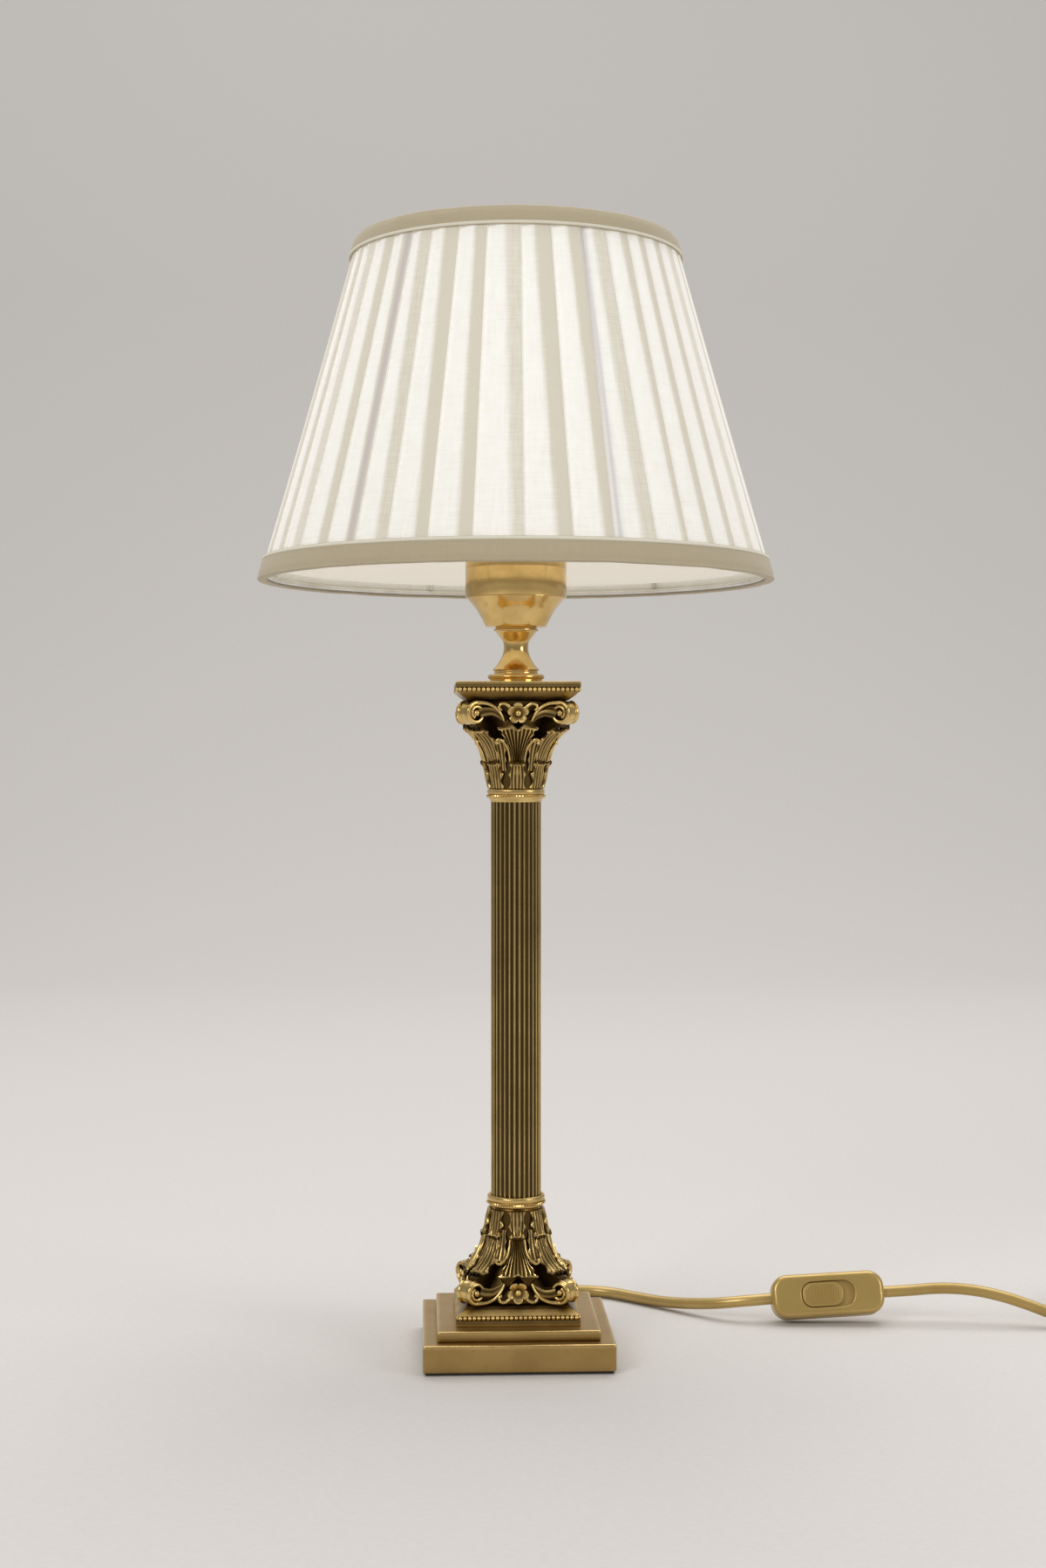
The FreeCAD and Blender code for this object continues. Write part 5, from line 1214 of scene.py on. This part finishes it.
    def band(self, side: float) -> tuple[np.ndarray, np.ndarray]:
        """The hollow, channelled band that widens from beside the flower to the spiral."""
        path = smooth_through(BAND, 22) * (side, 1.0, 1.0)
        groove = 0.5 + 0.5 * np.cos(5 * circle(26))
        centre = path[:, None]
        points = tube(path, smooth_through(BAND_REACH, 22)[:, 0], 26, squash=0.95) - centre
        points = centre + points * (1 - 0.18 * (1 - groove))[None, :, None]
        # Painted shade over the band, a little lighter on its ridges.
        return capped(points), (0.04 + 0.34 * groove)[None]

    def sprig(self, side: float) -> tuple[np.ndarray, float]:
        """A small hooked shoot beside the flower."""
        path = smooth_through(SPRIG, 18) * (side, 1.0, 1.0)
        return capped(tube(path, np.linspace(1.0, 0.6, 18), 8)), 0.8

    def shoot(self, side: float) -> tuple[np.ndarray, float]:
        """A thin stem that bends out from beside a fan leaf's foot to a curled end."""
        path = smooth_through(SHOOT, 20) * (side, 1.0, 1.0)
        return capped(tube(path, np.linspace(0.5, 0.85, 20), 8)), 0.9

    def flower(self) -> tuple[np.ndarray, np.ndarray]:
        """The flower: it reaches out along five petals and is hollow between rim and middle."""
        s = np.linspace(0.0, 1.0, 14)[:, None]
        angle = circle(60)[None, :]
        petal = np.abs(np.cos(2.5 * (angle - math.pi / 2))) ** 0.6
        reach = 5.3 * s * (0.74 + 0.26 * petal)
        lift = 1.6 * np.clip(s * 1.25 - 0.1, 0, 1) ** 2 * (0.35 + 0.65 * petal)
        lift = lift - 0.9 * np.clip(s - 0.85, 0, 1)
        face = np.stack([reach * np.cos(angle), -(self.cove + 1.0) - lift,
                         self.scroll_height + reach * np.sin(angle)], -1)
        rim = face[-1:] + (0.0, 2.6, 0.0)
        end = np.broadcast_to(rim.mean(axis=1, keepdims=True), rim.shape)
        # Painted highlights on the raised petals, painted shade round them and on the rim.
        shade = np.clip(0.05 + 0.8 * lift / 1.6, 0, 1)
        return np.concatenate([face, rim, end]), np.vstack([shade, np.zeros((2, 60))])

    def build(self, name: str, node: str, flip: float, foot: float) -> None:
        """The whole casting as one piece.

        Args:
            name: Name of the piece.
            node: Node that it stands for.
            flip: 1 if it stands upright, -1 if it is turned over about X.
            foot: Height of its leaves' foot.
        """
        sheet = Sheet(name)

        def keep(points: np.ndarray, shade: np.ndarray | float, angles: Sequence[float] = (0.0,),
                 wrap: bool = False) -> None:
            """Adds a part at each of its angles."""
            for angle in angles:
                sheet.grid(turned(points, angle) * (1.0, flip, flip) + (0.0, 0.0, foot), wrap,
                           relief=shade)

        # The bell's low relief is painted shade behind the leaves.
        keep(self.bell(), 0.10, wrap=True)
        keep(*self.plates(), wrap=True)
        side = self.abacus - 0.95
        for x in (np.arange(26) + 0.5) / 26 * 2 * side - side:
            keep(ball((x, -side, 49.1), 1.22, 6, 8), 0.95, QUARTERS)
        for leaf in LEAVES:
            keep(*leaf.shape(), leaf.angles)
        for part in (self.scroll(), self.drum(), self.web()):
            keep(*part, CORNERS)
        for make in (self.band, self.curl, self.sprig, self.shoot):
            keep(*make(-1.0), QUARTERS)
            keep(*make(1.0), QUARTERS)
        keep(*self.flower(), QUARTERS)
        for centre, radius in self.eyes:
            keep(ball(centre, radius, 9, 12), 0.95, QUARTERS)
        sheet.build("Cast_brass", node, sharp=55.0, merge=2e-7)


@dataclass(frozen=True)
class Column:
    """The fluted tube and the beaded ring at each of its ends."""

    bottom: float = 72.5
    top: float = 283.5
    radius: float = 12.6
    wall: float = 1.6
    flutes: int = 30
    per_flute: int = 14
    depth: float = 0.6
    collar_height: float = 6.7
    beads: int = 60

    def tube(self) -> None:
        """The tube: its radius dips by a smooth scallop between narrow ridges, 30 times round."""
        count = self.flutes * self.per_flute
        phase = np.linspace(0, self.flutes, count, endpoint=False) % 1.0
        dip = np.clip(np.sin(np.pi * phase), 0, 1) ** 0.8
        inner = self.radius - self.wall
        points = lathe([(inner, self.bottom), (self.radius, self.bottom), (self.radius, self.top),
                        (inner, self.top)], count)
        points[1:3, :, :2] *= (1 - self.depth * dip / self.radius)[None, :, None]
        # Painted shade in the flutes and painted highlights on the ridges, through the relief.
        skin("Fluted_column", points, "Aged_column", "fluted_column", sharp=60.0,
             relief=(0.95 - 0.95 * dip**0.5)[None])

    def collar(self, name: str, bottom: float, node: str) -> None:
        """A turned ring: lip, beaded rib and plain band.

        Args:
            name: Name of the piece.
            bottom: Height of its lower edge.
            node: Node that it stands for.
        """
        inner, top = self.radius + 0.1, self.collar_height
        corners = [(inner, 0.0), (12.9, 0.0), (13.1, 0.9), (13.9, 1.9), (13.9, 3.9), (14.3, 4.1),
                   (14.5, 4.5), (14.5, 5.9), (14.1, 6.4), (13.7, top), (inner, top)]
        sheet = Sheet(name)
        sheet.grid(lathe(soften(corners, 0.4, 4, closed=True) + (0.0, bottom), 96), True,
                   relief=0.95)
        for number in range(self.beads):
            bead = ball((14.15, 0.0, bottom + 2.9), 0.80, 5, 7)
            sheet.grid(turned(bead, 360 / self.beads * number), relief=0.9)
        sheet.build("Cast_brass", node)

    def build(self) -> None:
        """The tube and both collars."""
        self.tube()
        self.collar("Foot_collar", self.bottom, "foot_collar")
        self.collar("Upper_collar", self.top - self.collar_height, "upper_collar")


@dataclass(frozen=True)
class Holder:
    """The turned neck, spun bowl and sleeve, and the lampholder inside.

    The fields are the heights of the pieces' lower edges, and each profile starts from its own.
    """

    neck: float = 336.5
    bowl: float = 364.5
    sleeve: float = 380.2
    skirt: float = 389.7
    ring: float = 431.6
    bore: float = 5.1
    ridges: int = 20

    def turning(self, name: str, profile: Sequence[np.ndarray | Profile], bottom: float, node: str,
                material: str = "Polished_brass") -> None:
        """A closed profile, given in stretches, turned about the axis."""
        points = lathe(np.vstack(profile) + (0.0, bottom), 96)
        skin(name, points, material, node, sharp=35.0)

    def brass(self) -> None:
        """The neck, the bowl with its thin wall, and the sleeve."""
        self.turning("Turned_neck", [
            soften([(self.bore, 0.0), (13.2, 0.0), (13.2, 1.6), (13.4, 1.9)], 0.25),
            smooth_through([(13.5, 1.9), (14.1, 2.3), (14.3, 3.0), (14.1, 3.7), (13.5, 4.1)], 10),
            soften([(13.0, 4.3), (11.2, 4.4), (11.0, 4.8), (11.0, 6.0), (11.8, 6.4)], 0.2),
            smooth_through([(11.8, 6.6), (9.3, 9.4), (7.0, 13.4), (6.2, 16.6), (6.25, 19.6),
                            (6.8, 21.2), (8.6, 23.6), (10.1, 25.6)], 30),
            soften([(10.15, 25.8), (11.25, 26.0), (11.3, 26.9), (10.4, 27.1), (10.4, 28.0),
                    (self.bore, 28.0)], 0.2)], self.neck, "turned_neck")
        self.turning("Spun_bowl", [
            [(self.bore, 0.0), (14.2, 0.0)],
            smooth_through([(14.9, 0.0), (15.5, 0.9), (17.4, 4.6), (19.8, 8.8), (22.4, 12.0),
                            (24.5, 14.6)], 24),
            soften([(24.5, 14.8), (24.5, 20.7), (23.5, 20.7), (23.5, 14.7)], 0.1),
            smooth_through([(14.4, 1.0), (16.6, 4.8), (19.0, 9.0), (21.5, 12.4), (23.5, 14.8)],
                           20)[::-1],
            [(self.bore, 1.0)]], self.bowl, "holder_bowl")
        self.turning("Tall_sleeve", [soften([
            (24.6, -0.8), (25.4, -0.8), (25.4, 13.2), (25.2, 13.4), (25.4, 13.6), (25.4, 48.5),
            (24.9, 49.0), (20.0, 49.0), (20.0, 48.2), (24.6, 48.1)], 0.2, 3, closed=True)],
                     self.sleeve, "holder_sleeve")

    def build(self) -> None:
        """All the turned pieces; the parts inside the lampholder keep their solids."""
        self.brass()
        thread = [(19.6 - 0.5 * (k % 2), 26 + 1.1 * k) for k in range(1, self.ridges + 1)]
        skirt = [(15.2, 0.0), (18.2, 0.0), (19.6, 4.0), (19.6, 26.0), *thread, (19.6, 49.2),
                 (19.3, 50.0), (17.2, 50.0), (17.2, 11.0), (15.2, 8.5)]
        self.turning("Lampholder_skirt", [soften(skirt, 0.3, 3, closed=True)], self.skirt,
                     "lampholder_skirt", "Holder_plastic")
        carry_over({"lampholder_cap": "Holder_plastic", "contact_block": "Holder_plastic",
                    "centre_contact": "Bright_contact", "terminal_screws": "Zinc_plate",
                    "thread_shell": "Bright_contact", "inner_lead": "Gold_sheath"})
        profile = soften([(19.9, 0.0), (24.2, 0.0), (24.3, 6.6), (23.4, 8.0), (19.9, 8.0)], 0.4, 4,
                         closed=True)
        points = lathe(profile, 180)
        outside = (profile[:, 1] > 0.8) & (profile[:, 0] > 22.5)
        grip = outside[:, None] & (np.arange(180) % 6 < 2)
        points[..., :2] *= (1 - 0.012 * grip)[..., None]
        skin("Shade_ring", points + (0.0, 0.0, self.ring), "Ring_plastic", "shade_ring",
             body=Body.RING)


@dataclass(frozen=True)
class Bulb:
    """The lit bulb in its holder, by the height of its cap's rim."""

    cap_top: float = 433.7
    wall: float = 0.9
    outline: Profile = ((12.1, -5.0), (12.2, 3.0), (13.6, 9.0), (18.6, 17.0), (24.6, 25.4),
                        (29.0, 35.0), (30.0, 42.5), (28.4, 51.4), (23.6, 60.6), (13.8, 68.6),
                        (0.0, 72.0))

    def build(self) -> None:
        """The envelope: a neck that swells by a smooth curve into a ball, with a thin wall."""
        outside = smooth_through(self.outline, 70)
        inside = outside[::-1] - (self.wall, 0.0)
        pole = (0.0, outside[-1, 1] - self.wall)
        profile = np.vstack([outside, pole, inside[inside[:, 0] > 0]])
        skin("Bulb_glass", lathe(profile + (0.0, self.cap_top), 64), "Frosted_glass", "bulb_glass",
             body=Body.BULB)
        carry_over({"bulb_cap": "Cap_metal", "bulb_insulator": "Dark_glass",
                    "bulb_contact": "Bright_contact", "bulb_stem": "Frosted_glass"})


# ---------------------------------------------------------------- shade
@dataclass(frozen=True)
class Shade:
    """The pleated empire shade with its wire frame, lining and trims.

    Levels are heights above its lower edge.
    """

    bottom: float = 387.0
    height: float = 170.0
    low_radius: float = 129.3
    high_radius: float = 80.6
    pleats: int = 38
    per_pleat: int = 14
    struts: int = 6
    strut_turn: float = -70.0
    ring_levels: tuple[float, float] = (2.75, 167.25)
    ring_inset: float = 4.45
    ring_wire: float = 1.4
    strut_wire: float = 1.1
    seed: int = 7

    def radius(self, level: np.ndarray | float) -> np.ndarray:
        """Outside radius at a level."""
        share = np.asarray(level) / self.height
        return self.low_radius + (self.high_radius - self.low_radius) * share

    def places(self, reach: np.ndarray, angle: np.ndarray, level: np.ndarray) -> np.ndarray:
        """Points from radii, angles and levels."""
        reach, angle, z = np.broadcast_arrays(reach, angle, self.bottom + level)
        return np.stack([reach * np.cos(angle), reach * np.sin(angle), z], axis=-1)

    def cover(self) -> None:
        """The pleated cover.

        Round the shade the cloth rises from under each fold to the next fold's edge and drops back
        behind it. The radius is the cone's, less a step that closes over the first third of a
        pleat. The fold mask marks the last part of a pleat, where the cloth lies in three layers:
        a strip of steady width, so its share of the pleat grows towards the top. The finish paints
        shade there, and paints the struts' shadows along the strut mask.
        """
        random = np.random.default_rng(self.seed)

        def each(low: float, high: float) -> np.ndarray:
            """A number drawn for each pleat, repeated for its points."""
            return random.uniform(low, high, self.pleats)[pleat]

        rows = 46
        pleat = np.repeat(np.arange(self.pleats), self.per_pleat)
        widths = 1 + 0.16 * random.uniform(-1, 1, self.pleats)
        edges = np.concatenate([[0.0], np.cumsum(widths / widths.sum())])
        phase = np.concatenate([[0.0, 0.012], np.linspace(0.05, 0.985, self.per_pleat - 2)])
        phase = np.tile(phase, self.pleats)
        share = edges[pleat] + (edges[pleat + 1] - edges[pleat]) * phase
        level = np.linspace(1.0, self.height - 1.0, rows)[:, None]
        up = level / self.height
        lean = 0.0022 * random.uniform(-1, 1, self.pleats + 1)
        lean[-1] = lean[0]
        slant = (lean[pleat] * (1 - phase) + lean[pleat + 1] * phase) * (up - 0.5)
        angle = TURN * (share + slant)
        drop = 1.15 * np.clip(1 - phase / 0.42, 0, 1) ** 1.4
        drop = np.where(phase < 0.006, 0.25, drop)
        puff = 0.22 * np.sin(np.pi * phase) * each(0.3, 1.0)
        sag = np.sin(np.pi * up)
        reach = self.radius(level) - 1.1 - drop + puff - 0.5 * sag
        strut_angle = np.radians(self.strut_turn + 360 / self.struts * np.arange(self.struts))
        gap = np.abs((angle[..., None] - strut_angle + np.pi) % TURN - np.pi).min(axis=-1) * reach
        # Painted shadow of each strut, a narrow band over it.
        strut = np.exp(-(gap / 1.5) ** 2)
        reach = reach + 0.45 * np.exp(-(gap / 4.0) ** 2) * sag
        # The fold mask: painted shade where the cloth lies in three layers.
        strip = 6.2 + 1.8 * each(-1, 1)
        strip = strip + 1.6 * each(-1, 1) * (up - 0.5)
        pitch = TURN * self.radius(level) / self.pleats
        fold = 1 / (1 + np.exp(-((phase - 1) * pitch + strip) / 0.45)) * (0.80 + 0.2 * each(-1, 1))
        dim = 0.05 + 0.5 * (1 - up) ** 3 + 0.12 * up**6
        outside = self.places(reach, angle, level)
        inside = self.places(self.radius(level) - 3.0, angle, level)
        cover = skin("Pleated_cover", np.concatenate([outside, inside[::-1]]), "Pleated_cloth",
                     "shade_cover", body=Body.SHADE, sharp=75.0,
                     scale=(TURN * 0.105 / len(phase), self.height * MM / rows),
                     fold=np.vstack([fold, 0 * fold]), strut=np.vstack([strut, 0 * strut]),
                     dim=np.vstack([dim, dim[::-1]]))

    def lining(self) -> None:
        """The smooth lining, drawn in a little between the struts."""
        cols, rows = 180, 26
        angle = circle(cols)[None, :]
        level = np.linspace(6.6, self.height - 6.0, rows)[:, None]
        pull = 1.2 * np.abs(np.sin(0.5 * self.struts * (angle - math.radians(self.strut_turn))))
        reach = self.radius(level) - 7.1 - pull * np.sin(np.pi * level / self.height)
        points = np.concatenate([self.places(reach, angle, level),
                                 self.places(reach - 0.4, angle, level)[::-1]])
        lining = skin("Lining", points, "Lining_cloth", "shade_lining", body=Body.SHADE,
                      scale=(TURN * 0.1 / cols, 0.165 / rows))

    def trim(self, name: str, inner: float, outer: float, lip: float, node: str) -> None:
        """A folded band of cloth: its face, its turned edge and the lip under the wire, wavy.

        Args:
            name: Name of the piece.
            inner: Level of the edge that lies on the cover.
            outer: Level of the shade's own edge, where the lip turns inwards.
            lip: Radius that the lip reaches in to.
            node: Node that it stands for.
        """
        inward = 1.0 if outer < inner else -1.0
        width, radius = abs(inner - outer), float(self.radius(outer))
        steps = np.linspace(0.0, 1.0, 9)
        level = inner + (outer + inward * 1.2 - inner) * steps
        face = np.stack([self.radius(level) + 0.25 * np.sin(np.pi * steps), level], axis=-1)
        under = np.array([(radius + 0.1, 0.5), (radius - 0.5, 0.05), (lip + 0.4, 0.1), (lip, 0.5),
                          (lip + 0.3, 0.9), (radius - 0.9, 1.0)]) * (1.0, inward) + (0.0, outer)
        back = np.stack([self.radius(level) - 0.75, level], axis=-1)[::-1]
        profile = np.vstack([face, under, back])
        cols = 220
        angle = circle(cols)[None, :]
        random = np.random.default_rng(self.seed + len(name))
        wave = sum(0.16 * random.uniform(0.4, 1.0) * np.sin(k * angle + random.uniform(0, 6.28))
                   for k in (3, 5, 11, 17, 29))
        near = (np.arange(len(profile)) > 7)[:, None]
        reach = profile[:, :1] + (wave - 1) * 0.35 * near
        height = profile[:, 1:] + inward * np.abs(wave) * near * 0.5
        band = skin(name, self.places(reach, angle, height), "Trim_cloth", node, body=Body.SHADE,
                    sharp=60.0, scale=(TURN * 0.1 / cols, 0.001))
        level = (inner - inward * np.array([0.0, 0.5, 1.4, 1.9]))[:, None]
        reach = self.radius(level) + np.array([-0.2, 0.42, 0.42, -0.2])[:, None]
        strip = Sheet(name + "_edge")
        strip.grid(self.places(reach, angle, level), True, (TURN * 0.1 / cols, 0.0005))
        strip.build("Trim_edge", body=Body.SHADE)

    def frame(self) -> None:
        """The two wire rings and the struts between them; the fitter keeps its solid."""
        reaches = [float(self.radius(level)) - self.ring_inset for level in self.ring_levels]
        for reach, level, name, node in zip(reaches, self.ring_levels, ("Bottom_ring", "Top_ring"),
                                            ("frame_bottom_ring", "frame_top_ring")):
            path = self.places(reach, circle(160), level)
            skin(name, tube(path, self.ring_wire, 12, closed=True), "White_wire", node,
                 body=Body.SHADE)
        ends = [np.array([reach, 0.0, self.bottom + level])
                for reach, level in zip(reaches, self.ring_levels)]
        way = (ends[1] - ends[0]) / np.linalg.norm(ends[1] - ends[0])
        path = np.linspace(ends[0] + way * 1.5, ends[1] - way * 1.5, 12)
        sheet = Sheet("Struts")
        for number in range(self.struts):
            strut = turned(path, self.strut_turn + 360 / self.struts * number)
            sheet.grid(capped(tube(strut, self.strut_wire, 10)))
        sheet.build("White_wire", "frame_struts", body=Body.SHADE)
        carry_over({"shade_fitter": "White_wire"})

    def build(self) -> None:
        """Everything that turns with the shade."""
        self.cover()
        self.lining()
        self.trim("Bottom_trim", 11.7, 0.0, 124.4, "bottom_trim")
        self.trim("Top_trim", self.height - 9.6, self.height, 76.2, "top_trim")
        self.frame()


def main() -> None:
    """Builds the finishes, the studio and every sub-assembly in order."""
    logging.basicConfig(level=logging.INFO, format="%(name)s: %(message)s")
    tarnish_group()
    weave_group()
    for kind in FINISHES:
        kind.build()
    frosted_glass()
    Studio().build()
    lead = Lead()
    cord = lead.build()
    relief = StrainRelief().build()
    lead.declare(cord, [relief, *Switch().build(), *Plug().build()])
    Base().build()
    column = Column()
    Capital().build("Upper_capital", "upper_capital", 1.0, column.top)
    Capital().build("Foot_capital", "foot_capital", -1.0, column.bottom)
    column.build()
    Holder().build()
    Bulb().build()
    Shade().build()


if __name__ == "__main__":
    main()
